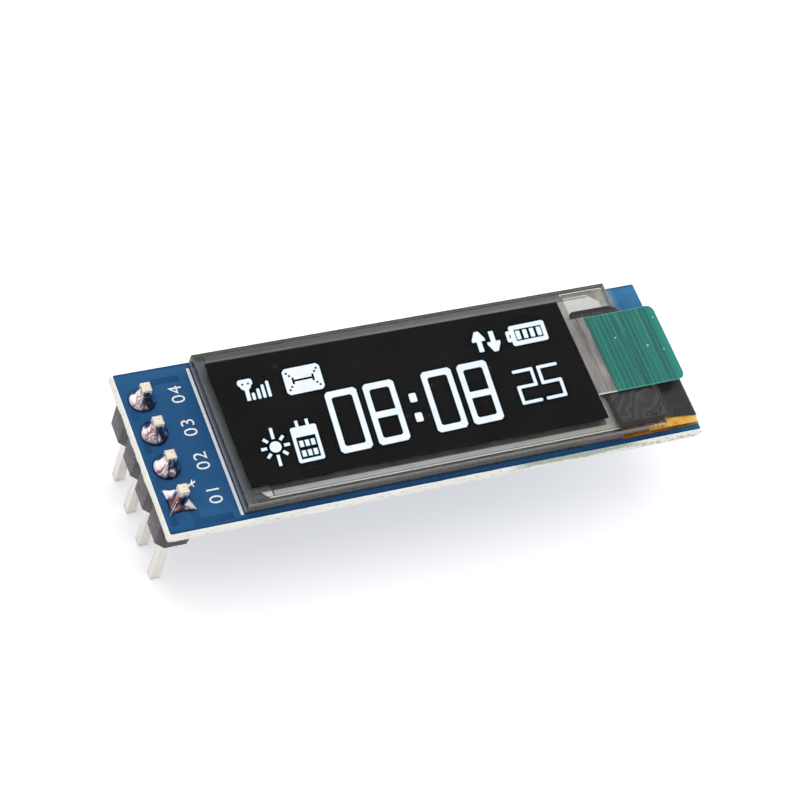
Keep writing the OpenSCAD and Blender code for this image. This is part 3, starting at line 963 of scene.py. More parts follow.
# each wall gets its own bands, lit or shaded copies of one glass: painted light and shade; the pale cream
# band on the front glass's rear wall is a painted highlight
frontWalls = [
    makeGlassEdge("frontGlassFrontWall", glassLow.z, glassHigh.z, [
        (0.0, rgb(72, 70, 66)), (0.2, rgb(104, 102, 97)), (0.45, rgb(92, 90, 86)), (0.68, rgb(80, 78, 75)),
        (0.84, rgb(104, 102, 98)), (0.95, rgb(140, 138, 134)),
    ], (26.5, 28.5, 0.7, rgb(122, 108, 106)), contactGold),
    makeGlassEdge("frontGlassLeftWall", glassLow.z, glassHigh.z, [
        (0.0, rgb(84, 86, 92)), (0.12, rgb(60, 62, 68)), (0.22, rgb(30, 32, 36)), (0.62, rgb(28, 30, 34)),
        (0.8, rgb(66, 70, 76)), (0.95, rgb(92, 97, 104)),
    ]),
    makeGlassEdge("frontGlassRearWall", glassLow.z, glassHigh.z, [
        (0.0, rgb(130, 130, 128)), (0.3, rgb(134, 134, 130)), (0.44, rgb(176, 177, 160)),
        (0.56, rgb(214, 212, 186)),
        (0.66, rgb(116, 117, 92)), (0.84, rgb(98, 100, 76)), (1.0, rgb(110, 112, 96)),
    ]),
    makeGlassEdge("frontGlassEndWall", glassLow.z, glassHigh.z, [
        (0.0, rgb(150, 160, 166)), (0.4, rgb(186, 192, 194)), (0.8, rgb(206, 209, 206)),
        (1.0, rgb(176, 180, 178)),
    ]),
]
rearWalls = [
    makeGlassEdge("rearGlassFrontWall", rearLow.z, rearHigh.z, [
        (0.0, rgb(42, 44, 50)), (0.2, rgb(60, 60, 64)), (0.6, rgb(74, 71, 70)), (0.9, rgb(84, 80, 77)),
    ], (26.5, 28.5, 0.35, rgb(120, 108, 104))),
    makeGlassEdge("rearGlassLeftWall", rearLow.z, rearHigh.z, [
        (0.0, rgb(34, 36, 42)), (0.14, rgb(52, 54, 60)), (0.3, rgb(126, 127, 134)),
        (0.85, rgb(140, 141, 148)), (1.0, rgb(108, 110, 116)),
    ]),
    makeGlassEdge("rearGlassRearWall", rearLow.z, rearHigh.z, [
        (0.0, rgb(70, 70, 68)), (0.5, rgb(104, 104, 100)), (1.0, rgb(128, 128, 122)),
    ]),
    makeGlassEdge("rearGlassEndWall", rearLow.z, rearHigh.z, [
        (0.0, rgb(70, 72, 74)), (0.5, rgb(110, 112, 112)), (1.0, rgb(150, 150, 148)),
    ]),
]
rearFace = makeRearTop()
makePane("front_pane", "front_glass", frontWalls, clearGlass)
makePane("rear_pane", "rear_glass", rearWalls, rearFace)
dressNode("edge_seal", makeSealResin())
print("glass made")


rails = {
    "barFront": 0.5,
    "barWidth": 0.5,
    "glintWidth": 0.09,
    "grooveWidth": 0.05,
    "barStart": (1.32, 1.76),
    "tickX": 2.08,
    "fanPitch": 0.11,
    "endBand": (26.1, 26.95),
    "pad": (26.96, 29.5, 9.55, 11.1),
}


def makeTrackMetal():
    finish = Finish("trackMetal", {"Roughness": 0.35, "Specular IOR Level": 0.3})
    brushed = finish.noise(2.4, 4, 0.6, (0.12, 2.4, 1))
    grey = finish.ramp(
        brushed, [(0.3, rgb(196, 196, 194)), (0.6, rgb(214, 214, 212)), (0.8, rgb(230, 230, 228))],
    )
    warm = finish.span(finish.along("X"), 18, 29)
    finish.colour(finish.mix(warm, grey, rgb(200, 194, 186)))
    finish.bump(brushed, 0.1, 0.01)
    return finish.material


def makeFanMetal():
    finish = Finish("fanTracks", {"Roughness": 0.4, "Specular IOR Level": 0.4})
    drift = finish.noise(0.6, 3)
    olive = finish.ramp(drift, [(0.3, rgb(104, 103, 96)), (0.7, rgb(128, 126, 114))])
    warm = finish.span(finish.along("X"), 16, 30)
    finish.colour(finish.mix(warm, olive, rgb(150, 138, 120)))
    return finish.material


def makeLedgeGlare():
    # painted glare: a pale painted reflection laid under the free end of the glass
    finish = Finish("ledgeGlare", {"Roughness": 0.45, "Specular IOR Level": 0.25})
    cloud = finish.noise(0.9, 4, 0.6, (1, 1, 1), 0.6)
    pale = finish.ramp(
        cloud, [(0.3, rgb(170, 166, 152)), (0.5, rgb(204, 200, 186)), (0.7, rgb(224, 221, 210))],
    )
    inner = finish.span(finish.along("X"), glassHigh.x - 1.1, glassHigh.x - 0.3, 0.5, 0.0)
    finish.colour(finish.mix(inner, pale, rgb(120, 116, 106)))
    finish.bump(cloud, 0.2, 0.02)
    return finish.material


def makeTracks():
    bm = bmesh.new()
    left, front = glassLow.x, glassLow.y
    z, t = trackLow.z, trackHigh.z - trackLow.z - 0.004

    def strip(points, index, lift=0.0):
        face = addOutline(bm, points, z + lift, index)
        thicken(bm, [face], t - abs(lift))

    def rect(x0, y0, x1, y1, index, lift=0.0):
        strip([(x0, y0), (x1, y0), (x1, y1), (x0, y1)], index, lift)

    barLow = front + rails["barFront"]
    barHigh = barLow + rails["barWidth"]
    endLow, endHigh = (left + v for v in rails["endBand"])
    startA, startB = (left + v for v in rails["barStart"])
    glint = barLow + rails["glintWidth"]
    body = glint + rails["grooveWidth"]
    tick = left + rails["tickX"]
    reach = (barHigh - body) / (barHigh - barLow)
    chamferX = startA + (startB - startA) * reach
    strip([(startA, barHigh), (chamferX, body), (tick - 0.05, body), (tick - 0.05, barHigh)], 1)
    strip([(tick + 0.05, barHigh), (tick + 0.05, body), (endLow, body), (endLow, barHigh)], 0)
    strip([(startB - 0.05, glint), (startB, barLow), (endHigh, barLow), (endHigh, glint)], 1)
    rect(tick - 0.2, glint + 0.001, endHigh, body - 0.001, 3, 0.002)
    rect(endLow, body, endHigh, front + 10.9, 0)
    fanLow, fanHigh = barHigh + 0.04, polLow.y + 0.4
    rect(tick + 0.06, fanLow, endLow - 0.02, fanHigh, 3)
    rect(left + 1.0, fanLow, tick - 0.06, fanHigh, 4)
    pitch = rails["fanPitch"]
    count = int((endLow - tick - 0.3) / pitch)
    for k in range(count):
        x = tick + 0.12 + k * pitch
        strip([(x, fanLow), (x + 0.055, fanLow), (x + 0.175, fanHigh), (x + 0.12, fanHigh)], 2, 0.002)
    x0, x1, y0, y1 = rails["pad"]
    cut = 0.7
    strip([
        (left + x0, front + y0), (left + x1, front + y0), (left + x1, front + y1 - cut),
        (left + x1 - cut, front + y1), (left + x0, front + y1),
    ], 1)
    rect(left + x0, front + y1 - 0.16, left + x1 - cut - 0.05, front + y1 - 0.1, 6, 0.002)
    strip([
        (endHigh + 0.01, front + 8.9), (glassHigh.x - 0.06, front + 8.9),
        (glassHigh.x - 0.06, glassHigh.y - 0.06),
        (endHigh + 0.01, glassHigh.y - 0.06),
    ], 5, -0.012)
    for face in bm.faces:
        face.normal_update()
    closeUp(bm)
    finishPiece(
        "glass_tracks", bm, [trackMetal, trackGlint, fanTracks, fanBed, cornerPlate, ledgeGlare, inkLine],
        ["conductor_tracks"], 0,
    )


trackMetal = makeTrackMetal()
trackGlint = makePlain(
    "trackGlint", rgb(246, 246, 244), rgb(255, 255, 254), (4, 3, 0.6, (0.3, 1, 1)),
    {"Roughness": 0.3, "Specular IOR Level": 0.3}, highAt=0.65,
)
fanTracks = makeFanMetal()
fanBed = makePlain(
    "fanBed", rgb(68, 67, 62), rgb(92, 90, 83), (1.2, 4),
    {"Roughness": 0.45, "Specular IOR Level": 0.3},
)
cornerPlate = makePlain(
    "cornerPlate", rgb(118, 114, 114), rgb(144, 139, 138), (1.5, 3),
    {"Roughness": 0.4, "Specular IOR Level": 0.25},
)
ledgeGlare = makeLedgeGlare()
inkLine = makePlain(
    "darkTrack", rgb(44, 42, 40), rgb(70, 68, 64), (3, 3),
    {"Roughness": 0.5, "Specular IOR Level": 0.2},
)
makeTracks()
print("tracks made")


def makePolariser():
    finish = Finish("polariserBlack", {"Roughness": 0.28, "Specular IOR Level": 0.06})
    depth = finish.noise(0.25, 3)
    black = finish.ramp(depth, [(0.3, rgb(12, 12, 12)), (0.7, rgb(20, 20, 21))])
    dust = finish.cells(1.15)
    spread = finish.noise(1.7, 1, 0.4, (1, 1, 1), 0.0, (4, 4, 4))
    near = finish.span(dust.outputs["Distance"], 0.1, 0.03)
    specks = finish.times(near, finish.span(spread, 0.52, 0.62))
    finish.colour(finish.cover(black, rgb(132, 138, 122), specks, 0.5))
    finish.bump(finish.noise(3, 3), 0.05, 0.01)
    return finish.material


picture = {
    "lift": 0.004,
    "thickness": 0.004,
    "fringe": 0.025,
    "rim": 0.12,
    "slant": (0.085, 4.5),
    "tilt": (0.024, 11.0),
    "digitY": (1.15, 5.78),
    "digitX": [(6.82, 9.06, "0"), (9.52, 11.73, "8"), (13.73, 15.93, "0"), (16.37, 18.56, "8")],
    "digitStroke": (0.38, 0.46),
    "colonX": 12.74,
    "colonY": (2.59, 4.09),
    "bars": [(2.15, 0.53), (2.52, 0.78), (2.88, 1.0), (3.25, 1.2)],
    "barFoot": 6.32,
}


def makeLit(name, first, second):
    finish = Finish(
        name,
        {"Base Color": (0, 0, 0, 1), "Roughness": 0.6, "Specular IOR Level": 0.0, "Emission Strength": 1.0},
    )
    glow = finish.noise(1.3, 2)
    finish.link(finish.ramp(glow, [(0.3, first), (0.7, second)]), finish.shader.inputs["Emission Color"])
    return finish.material


def box2(x0, y0, x1, y1):
    return [(x0, y0), (x1, y0), (x1, y1), (x0, y1)]


def chamfered(x0, y0, x1, y1, c):
    return [
        (x0 + c, y0), (x1 - c, y0), (x1, y0 + c), (x1, y1 - c),
        (x1 - c, y1), (x0 + c, y1), (x0, y1 - c), (x0, y0 + c),
    ]


def turned(points, centre, degrees):
    turn = Matrix.Rotation(math.radians(degrees), 2)
    return [turn @ Vector(p) + Vector(centre) for p in points]


def makePicture():
    bm = bmesh.new()
    base = polHigh.z + picture["lift"]
    slant, slantFrom = picture["slant"]
    tilt, tiltFrom = picture["tilt"]

    def shown(p):
        # the picture leans a little on the screen
        return Vector(
            (polLow.x + p[0] + slant * (p[1] - slantFrom), polLow.y + p[1] + tilt * (p[0] - tiltFrom)),
        )

    def put(points, index, level):
        face = addOutline(bm, [shown(p) for p in points], base + level * 0.0015, index)
        thicken(bm, [face], picture["thickness"])

    def lit(points):
        put(points, 0, 2)
        put(growOutline(points, picture["fringe"]), 1, 1)
        put(growOutline(points, picture["rim"]), 3, 0)

    def dark(points):
        put(points, 2, 3)

    def ring(outer, inner):
        # a closed frame: two outlines bridged, for the light, its soft edge and its dark rim of painted
        # shade
        for grow, index, level in ((0.0, 0, 2), (picture["fringe"], 1, 1), (picture["rim"], 3, 0)):
            loops = []
            for points in (growOutline(outer, grow), growOutline(inner, -grow)):
                verts = [bm.verts.new((*shown(p), base + level * 0.0015)) for p in points]
                loops.append([bm.edges.new((verts[i - 1], verts[i])) for i in range(len(verts))])
            made = bmesh.ops.bridge_loops(bm, edges=loops[0] + loops[1])["faces"]
            for face in made:
                face.material_index = index
            bmesh.ops.recalc_face_normals(bm, faces=made)
            thicken(bm, made, picture["thickness"])

    # clock digits
    y0, y1 = picture["digitY"]
    sx, sy = picture["digitStroke"]
    for x0, x1, digit in picture["digitX"]:
        ring(chamfered(x0, y0, x1, y1, 0.2), chamfered(x0 + sx, y0 + sy, x1 - sx, y1 - sy, 0.13))
        if digit == "8":
            middle = (y0 + y1) / 2 - 0.1
            lit(box2(x0 + sx - 0.02, middle - sy / 2, x1 - sx + 0.02, middle + sy / 2))
    for y in picture["colonY"]:
        x = picture["colonX"]
        lit(chamfered(x - 0.25, y - 0.33, x + 0.25, y + 0.33, 0.07))
    # aerial and signal bars
    lit([
        (1.66, 6.34), (1.9, 6.34), (1.92, 7.12), (2.12, 7.3), (2.14, 7.44), (2.28, 7.52),
        (2.28, 7.8), (2.16, 7.94), (1.4, 7.94), (1.28, 7.82), (1.28, 7.58), (1.42, 7.44), (1.44, 7.3),
        (1.66, 7.12),
    ])
    for x in (1.6, 1.99):
        dark(chamfered(x - 0.07, 7.52, x + 0.07, 7.66, 0.03))
    for x, height in picture["bars"]:
        foot = picture["barFoot"]
        lit(chamfered(x - 0.1, foot, x + 0.1, foot + height, 0.06))
    # envelope with dotted folds
    cx, cy = 5.745, 7.1
    lit(chamfered(cx - 1.315, cy - 0.98, cx + 1.315, cy + 0.98, 0.2))
    dark(box2(cx - 0.62, cy - 0.07, cx + 0.62, cy + 0.08))
    for side in (-1, 1):
        dark(box2(cx + side * 0.7 - 0.075, cy - 0.24, cx + side * 0.7 + 0.075, cy + 0.26))
        for up in (-1, 1):
            for dx, dy in ((0.89, 0.42), (1.06, 0.63)):
                x, y = cx + side * dx, cy + up * dy
                dark(chamfered(x - 0.075, y - 0.075, x + 0.075, y + 0.075, 0.025))
    # arrows
    arrow = [
        (-0.17, -0.79), (0.17, -0.79), (0.17, 0.02), (0.47, 0.02), (0.47, 0.2),
        (0.15, 0.79), (-0.15, 0.79), (-0.47, 0.2), (-0.47, 0.02), (-0.17, 0.02),
    ]
    lit(turned(arrow, (18.57, 7.18), 0))
    lit(turned(arrow, (19.6, 7.02), 180))
    # battery
    ring(chamfered(20.93, 6.31, 23.6, 7.88, 0.12), chamfered(21.27, 6.64, 23.32, 7.55, 0.04))
    lit(chamfered(20.63, 6.68, 20.97, 7.53, 0.08))
    dark(chamfered(20.84, 6.95, 20.93, 7.24, 0.03))
    for x in (21.51, 22.03, 22.55, 23.07):
        lit(chamfered(x - 0.155, 6.76, x + 0.155, 7.43, 0.04))
    # a plain two-figure reading
    thin = 0.22
    y0, y1 = 1.85, 4.5
    middle = (y0 + y1) / 2
    for x0, x1, upperX, lowerX in ((20.15, 21.67, 1, 0), (21.97, 23.5, 0, 1)):
        for y in (y0, middle - thin / 2, y1 - thin):
            lit(chamfered(x0, y, x1, y + thin, 0.06))
        edges = (x0, x1 - thin)
        lit(box2(edges[upperX], middle, edges[upperX] + thin, y1 - 0.08))
        lit(box2(edges[lowerX], y0 + 0.08, edges[lowerX] + thin, middle))
    # sun
    disc = [(0.4 * math.cos(a * math.tau / 16), 0.4 * math.sin(a * math.tau / 16)) for a in range(16)]
    lit(turned(disc, (2.6, 2.66), 11.25))
    for k in range(8):
        reach = 1.4 if k % 4 == 2 else 0.98
        lit(turned([(0.6, -0.1), (reach, -0.1), (reach, 0.1), (0.6, 0.1)], (2.6, 2.66), 45 * k))
    # calendar page
    ring(chamfered(3.86, 1.13, 5.66, 3.74, 0.1), box2(4.08, 1.36, 5.44, 3.0))
    for x in (4.3, 5.02):
        lit(box2(x, 3.6, x + 0.2, 4.2))
    for column in range(3):
        for row in range(2):
            x, y = 4.23 + 0.4 * column, 1.54 + 0.72 * row
            lit(box2(x, y, x + 0.26, y + 0.44))
    for face in bm.faces:
        face.normal_update()
    closeUp(bm)
    finishPiece("lit_picture", bm, [litWhite, litFringe, litGap, shadeRing], smoothBelow=0)


polariserBlack = makePolariser()
dressNode("polariser", polariserBlack)
litWhite = makeLit("litWhite", rgb(236, 248, 255), rgb(255, 255, 255))
litFringe = makeLit("litFringe", rgb(96, 148, 168), rgb(140, 196, 212))
litGap = makeLit("litGap", rgb(0, 8, 18), rgb(6, 20, 32))
# a dark bluish ring of painted shade round each lit shape
shadeRing = makeLit("shadeRing", rgb(3, 5, 12), rgb(10, 12, 20))
makePicture()
print("picture made")


films = {"tabCurl": 0.12, "tabBevel": 0.02, "clear": 0.012, "ribPitch": 0.36}


def makeFilmClear():
    finish = Finish("filmClear", {"Roughness": 0.3, "Specular IOR Level": 0.2})
    x, y = finish.along("X"), finish.along("Y")
    drawn = finish.noise(1.3, 3, 0.6, (1.8, 0.3, 1), 0.4)
    plain = finish.ramp(
        drawn, [(0.3, rgb(140, 135, 134)), (0.55, rgb(166, 162, 160)), (0.8, rgb(192, 189, 186))],
    )
    # fine scratches that cross on the bare part of the film
    scratched = plain
    for sign in (1.0, -1.0):
        slope = finish.plus(finish.times(x, 2.2 * sign), y)
        wave = finish.maths("SINE", finish.plus(finish.times(slope, 9.0), finish.times(drawn, 14)))
        scratched = finish.mix(finish.span(wave, 0.93, 1.0, 0.0, 0.35), scratched, rgb(132, 126, 126))
    rimLine = finish.between(x, tapeLow.x + 0.22, tapeLow.x + 0.3, 0.05)
    lined = finish.cover(scratched, rgb(96, 92, 94), rimLine, 0.6)
    edgeLine = finish.span(y, tabLow.y + 0.16, tabLow.y + 0.1)
    finish.colour(finish.cover(lined, rgb(250, 248, 244), edgeLine, 0.8))
    tongue = finish.span(x, polHigh.x - 0.05, polHigh.x + 0.05)
    milky = finish.times(tongue, finish.span(drawn, 0.3, 0.75, 0.5, 0.66))
    finish.seeThrough(milky)
    gloss = finish.node("ShaderNodeBsdfGlossy")
    gloss.inputs["Roughness"].default_value = 0.16
    edge = finish.node("ShaderNodeLayerWeight")
    edge.inputs["Blend"].default_value = 0.003
    both = finish.node("ShaderNodeMixShader")
    first = finish.output.inputs["Surface"].links[0].from_socket
    finish.link(edge.outputs["Facing"], both.inputs[0])
    finish.link(first, both.inputs[1])
    finish.link(gloss.outputs[0], both.inputs[2])
    finish.link(both.outputs[0], finish.output.inputs["Surface"])
    return finish.material


def makeTabGreen():
    finish = Finish("tabGreen", {"Roughness": 0.42, "Specular IOR Level": 0.3})
    x, y = finish.along("X"), finish.along("Y")
    wide = finish.noise(0.9, 2, 0.5, (1.1, 0.02, 0.05))
    fine = finish.noise(4.4, 3, 0.7, (1.5, 0.03, 0.05))
    green = finish.ramp(wide, [(0.3, rgb(14, 88, 82)), (0.5, rgb(20, 104, 95)), (0.68, rgb(30, 120, 108))])
    # ribs that run the short way, with finer drawn lines between them
    place = finish.plus(finish.times(x, math.tau / films["ribPitch"]), finish.times(wide, 7))
    ribs = finish.maths("SINE", place)
    ribbed = finish.mix(finish.span(ribs, 0.35, 1.0, 0.0, 0.38), green, rgb(66, 152, 138))
    lines = finish.mix(finish.span(fine, 0.56, 0.7, 0.0, 0.5), ribbed, rgb(84, 164, 150))
    centre = finish.between(x, 33.0, 34.2, 0.4)
    darker = finish.cover(lines, rgb(8, 66, 70), centre, finish.span(fine, 0.48, 0.36, 0.0, 0.8))
    # painted light on the far end of the tab, which curls up
    farSideLit = finish.span(x, tabHigh.x - 0.8, tabHigh.x - 0.2)
    bright = finish.cover(darker, rgb(28, 142, 126), farSideLit, 0.75)
    rim = finish.maths(
        "MAXIMUM", finish.span(y, tabLow.y + 0.1, tabLow.y + 0.02),
        finish.span(y, tabHigh.y - 0.1, tabHigh.y - 0.02),
    )
    edged = finish.cover(bright, rgb(92, 178, 162), rim, 0.6)
    dust = finish.cells(0.9).outputs["Distance"]
    finish.colour(finish.mix(finish.span(dust, 0.08, 0.03, 0.0, 0.9), edged, rgb(214, 236, 228)))
    finish.bump(ribs, 0.25, 0.02)
    return finish.material


def makeTapeBlack():
    finish = Finish("tapeBlack", {"Roughness": 0.36, "Specular IOR Level": 0.3})
    x, y = finish.along("X"), finish.along("Y")
    # painted light and shade of diagonal ridges: wavy bands that cross the tape at a slant
    drift = finish.noise(0.4, 2, 0.5, (1.0, 1.0, 0.3), 0.8)
    front = finish.plus(
        finish.maths("SUBTRACT", finish.times(x, 1.0), finish.times(y, 0.75)), finish.times(drift, 4.0),
    )
    wave = finish.maths("SINE", finish.times(front, 3.4))
    fine = finish.noise(5, 3, 0.6, (1, 0.4, 1))
    inner = finish.ramp(finish.span(wave, -1.0, 1.0), [
        (0.0, rgb(52, 51, 52)), (0.45, rgb(66, 65, 66)), (0.84, rgb(72, 71, 72)), (0.9, rgb(36, 35, 36)),
        (0.96, rgb(34, 33, 34)), (1.0, rgb(60, 59, 60)),
    ])
    brushed = finish.mix(finish.span(fine, 0.35, 0.7, 0.0, 0.3), inner, rgb(46, 45, 46))
    insideX = finish.span(x, tapeLow.x + 0.22, tapeLow.x + 0.34)
    insideY = finish.between(y, tapeLow.y + 0.3, tapeHigh.y - 0.3, 0.06)
    inside = finish.times(insideX, insideY)
    # painted shade where the tape steps down off the end of the glass
    slope = finish.span(x, glassHigh.x - 0.1, glassHigh.x + 0.35)
    body = finish.cover(brushed, rgb(32, 31, 33), slope, 0.7)
    rimmed = finish.mix(inside, rgb(34, 33, 35), body)
    sparkle = finish.cells(1.6).outputs["Distance"]
    specks = finish.mix(finish.span(sparkle, 0.05, 0.02, 0.0, 0.8), rimmed, rgb(210, 208, 206))
    tip = finish.span(x, flexHigh.x - 0.2, flexHigh.x - 0.08)
    finish.colour(finish.cover(specks, rgb(156, 150, 156), tip, 0.85))
    finish.bump(drift, 0.3, 0.05)
    return finish.material


def bendTape(vert):
    # flat on the glass, a soft step down at its end, then flat on the flex and round its fold
    drop = glassHigh.z - flexHigh.z
    start, end = glassHigh.x - 0.02, glassHigh.x + 0.78
    share = min(1.0, max(0.0, (vert.co.x - start) / (end - start)))
    eased = share * share * (3 - 2 * share)
    ripple = 0.05 * noise.noise(Vector((vert.co.x * 0.8, vert.co.y * 0.8, 4.0))) * min(
        1.0, max(0.0, share * 2),
    )
    foldX, radius = 36.32, 0.295
    over = min(radius, max(0.0, vert.co.x - foldX))
    roundTip = radius - math.sqrt(radius ** 2 - over ** 2)
    vert.co.z += -drop * eased + abs(ripple) * (1 - min(1.0, over * 6)) - roundTip


def makeTape():
    low, high = tapeLow, tapeHigh
    front = low.y - 0.06
    tip = 36.56
    corners = [
        (low.x, front), (glassHigh.x - 0.4, front), (34.32, low.y + 0.3), (35.2, low.y + 0.26),
        (tip, low.y + 0.12),
        (tip, 3.2), (34.7, 3.2), (33.95, high.y - 0.25), (33.5, high.y), (low.x, high.y),
    ]
    bm = bmesh.new()
    addOutline(
        bm, roundCorners(corners, [0.42, 0.3, 0.2, 0.2, 0.0, 0.0, 0.1, 0.1, 0.2, 0.5], 6),
        glassHigh.z + 0.002,
    )
    cutAcross(bm, "x", steps(low.x, 36.2, 0.2))
    cutAcross(bm, "x", [36.3, 36.36, 36.42, 36.48, 36.52])
    cutAcross(bm, "y", steps(low.y, high.y, 0.4))
    for vert in bm.verts:
        bendTape(vert)
    thicken(bm, bm.faces[:], 0.056)
    closeUp(bm)
    finishPiece("shield_tape", bm, [tapeBlack], ["light_shield_tape"], 40)


def tabCurl(x):
    share = max(0.0, (x - tabLow.x - 1.5) / (tabHigh.x - tabLow.x - 1.5))
    return films["tabCurl"] * share * share


def makeFilm():
    frontEdge, rearEdge = tabLow.y + 0.02, tabHigh.y + 0.06
    end = filmHigh.x - 0.2
    points = [
        (polLow.x, polLow.y), (polHigh.x, polLow.y), (polHigh.x, frontEdge), (tabLow.x + 0.3, frontEdge),
        (tabLow.x + 0.6, frontEdge + 0.15), (end, frontEdge + 0.15), (end, tabHigh.y - 0.15),
        (tabLow.x + 0.6, tabHigh.y - 0.15),
        (tabLow.x + 0.3, rearEdge), (polHigh.x, rearEdge), (polHigh.x, polHigh.y), (polLow.x, polHigh.y),
    ]
    bm = bmesh.new()
    radii = [0.06, 0.06, 0.12, 0.0, 0.0, 0.5, 0.5, 0.0, 0.0, 0.12, 0.06, 0.06]
    addOutline(bm, roundCorners(points, radii, 5), filmLow.z + films["clear"])
    cutAcross(bm, "x", steps(polHigh.x + 0.1, end, 0.25))
    for vert in bm.verts:
        vert.co.z += tabCurl(vert.co.x)
    thicken(bm, bm.faces[:], 0.026)
    closeUp(bm)
    finishPiece("clear_film", bm, [filmClear], ["protective_film"], 35)


def makeTab():
    low, high = tabLow, tabHigh
    corners = [(low.x, low.y), (high.x, low.y), (high.x, high.y), (low.x, high.y)]
    bm = bmesh.new()
    addOutline(bm, roundCorners(corners, [0.02, 0.7, 0.7, 0.02], 9), low.z)
    cutAcross(bm, "x", steps(low.x, high.x, 0.25))
    cutAcross(bm, "y", steps(low.y, high.y, 0.75))
    for vert in bm.verts:
        vert.co.z += tabCurl(vert.co.x)
    thicken(bm, bm.faces[:], 0.075)
    closeUp(bm)
    rim = [e for e in bm.edges if e.is_manifold and e.calc_face_angle(0) > 1.2]
    bmesh.ops.bevel(
        bm, geom=rim, offset=films["tabBevel"], segments=2, profile=0.5, affect="EDGES", material=-1,
    )
    finishPiece("green_pull_tab", bm, [tabGreen], ["pull_tab"], 35)


filmClear = makeFilmClear()
tabGreen = makeTabGreen()
tapeBlack = makeTapeBlack()
makeTape()
makeFilm()
makeTab()
print("films and tapes made")


flex = {"thickness": 0.1, "foldSteps": 10, "pitch": 0.35}


def makeFlexAmber():
    finish = Finish("flexAmber", {"Roughness": 0.3, "Specular IOR Level": 0.45, "Coat Weight": 0.2})
    x, height = finish.along("X"), finish.along("Z")
    clouds = finish.noise(0.9, 4, 0.6, (1, 1, 1), 0.5)
    amber = finish.ramp(
        clouds, [(0.3, rgb(184, 118, 26)), (0.5, rgb(222, 164, 54)), (0.72, rgb(240, 194, 92))],
    )
    # painted highlight along the fold at the free end
    tip = finish.span(x, flexHigh.x - 0.9, flexHigh.x - 0.2)
    gold = finish.cover(amber, rgb(250, 214, 124), tip, 0.7)
    # painted shade on the lower layer, which lies under the upper one
    under = finish.span(height, flexLow.z + 0.34, flexLow.z + 0.14)
    shadedAmber = finish.mix(finish.span(clouds, 0.4, 0.6, 0.0, 0.5), rgb(120, 66, 10), rgb(186, 112, 24))
    finish.colour(finish.cover(gold, shadedAmber, under, 0.8))
    finish.roughness(finish.noise(3, 3), 0.22, 0.4)
    finish.bump(finish.noise(1.4, 3), 0.3, 0.04)
    return finish.material


def makeFlex():
    low, high = flexLow, flexHigh
    t = flex["thickness"]
    radius = (high.z - low.z - t) / 2
    foldX = high.x - radius - t / 2
    bm = bmesh.new()
    start = bm.verts.new((foldX, low.y, high.z - t / 2))
    chain = bmesh.ops.spin(
        bm, geom=[start], cent=(foldX, low.y, high.z - t / 2 - radius), axis=(0, 1, 0), dvec=(0, 0, 0),
        angle=math.pi, steps=flex["foldSteps"], use_merge=False,
    )["geom_last"]
    last = [g for g in chain if isinstance(g, bmesh.types.BMVert)][0]
    upper = glassHigh.x - 1.2
    for tip, targetX in ((start, upper), (last, low.x)):
        for x in [tip.co.x + (targetX - tip.co.x) * k / 14 for k in range(1, 15)]:
            step = bm.verts.new((x, low.y, tip.co.z))
            bm.edges.new((tip, step))
            tip = step
    profile = bm.edges[:]
    width = high.y - low.y
    count = round(width / flex["pitch"])
    for _ in range(count):
        made = bmesh.ops.extrude_edge_only(bm, edges=profile)["geom"]
        profile = [g for g in made if isinstance(g, bmesh.types.BMEdge)
                   and abs(g.verts[0].co.y - g.verts[1].co.y) < 0.001
                   and all(len(v.link_faces) < 3 for v in g.verts)]
        verts = list(dict.fromkeys(v for e in profile for v in e.verts))
        bmesh.ops.translate(bm, vec=(0, width / count, 0), verts=verts)
    bmesh.ops.recalc_face_normals(bm, faces=bm.faces)
    for vert in bm.verts:
        free = min(1.0, max(0.0, (vert.co.x - glassHigh.x) / 1.2))
        edge = max(0.0, 1 - (vert.co.y - low.y) / 1.6)
        lift = noise.noise(Vector((vert.co.x * 0.9, vert.co.y * 0.7, 2.0)))
        if vert.co.z < (low.z + high.z) / 2:
            vert.co.z += 0.1 * max(0.0, lift) * free
        else:
            vert.co.z -= 0.12 * edge * free * abs(lift)
    bmesh.ops.solidify(bm, geom=bm.faces[:], thickness=t * 0.96)
    middle = sum((v.co.z for v in bm.verts), 0.0) / len(bm.verts)
    bmesh.ops.recalc_face_normals(bm, faces=bm.faces)
    finishPiece("folded_flex", bm, [flexAmber], ["flex_cable"], 40)
    return middle


flexAmber = makeFlexAmber()
makeFlex()
print("flex made")


backParts = {"endCap": 0.3, "bevel": 0.05, "fillet": 0.28}


def makeTin():
    finish = Finish("tinnedEnd", {"Metallic": 1.0, "Roughness": 0.3})
    grain = finish.noise(4, 4, 0.6)
    finish.colour(finish.ramp(grain, [(0.3, rgb(164, 164, 166)), (0.7, rgb(224, 222, 220))]))
    finish.roughness(grain, 0.2, 0.42)
    finish.bump(grain, 0.2, 0.02)
    return finish.material


def addFillet(bm, x, y, z, width, out, height, side):
    # a wedge of solder against a part's end, hollow like a wetted fillet
    made = bmesh.ops.create_grid(bm, x_segments=8, y_segments=6, size=0.5)["verts"]
    moved = thicken(bm, facesOf(made), 1.0)
    top = set(moved)
    for vert in made + moved:
        share = vert.co.y + 0.5
        px = x + vert.co.x * width
        py = y + side * share * out
        rise = height * (1 - share) ** 2 * (1 - 0.35 * (2 * vert.co.x) ** 4)
        pz = z - (0.01 if vert not in top else 0.015 + rise)
        vert.co = Vector((px, py, pz))


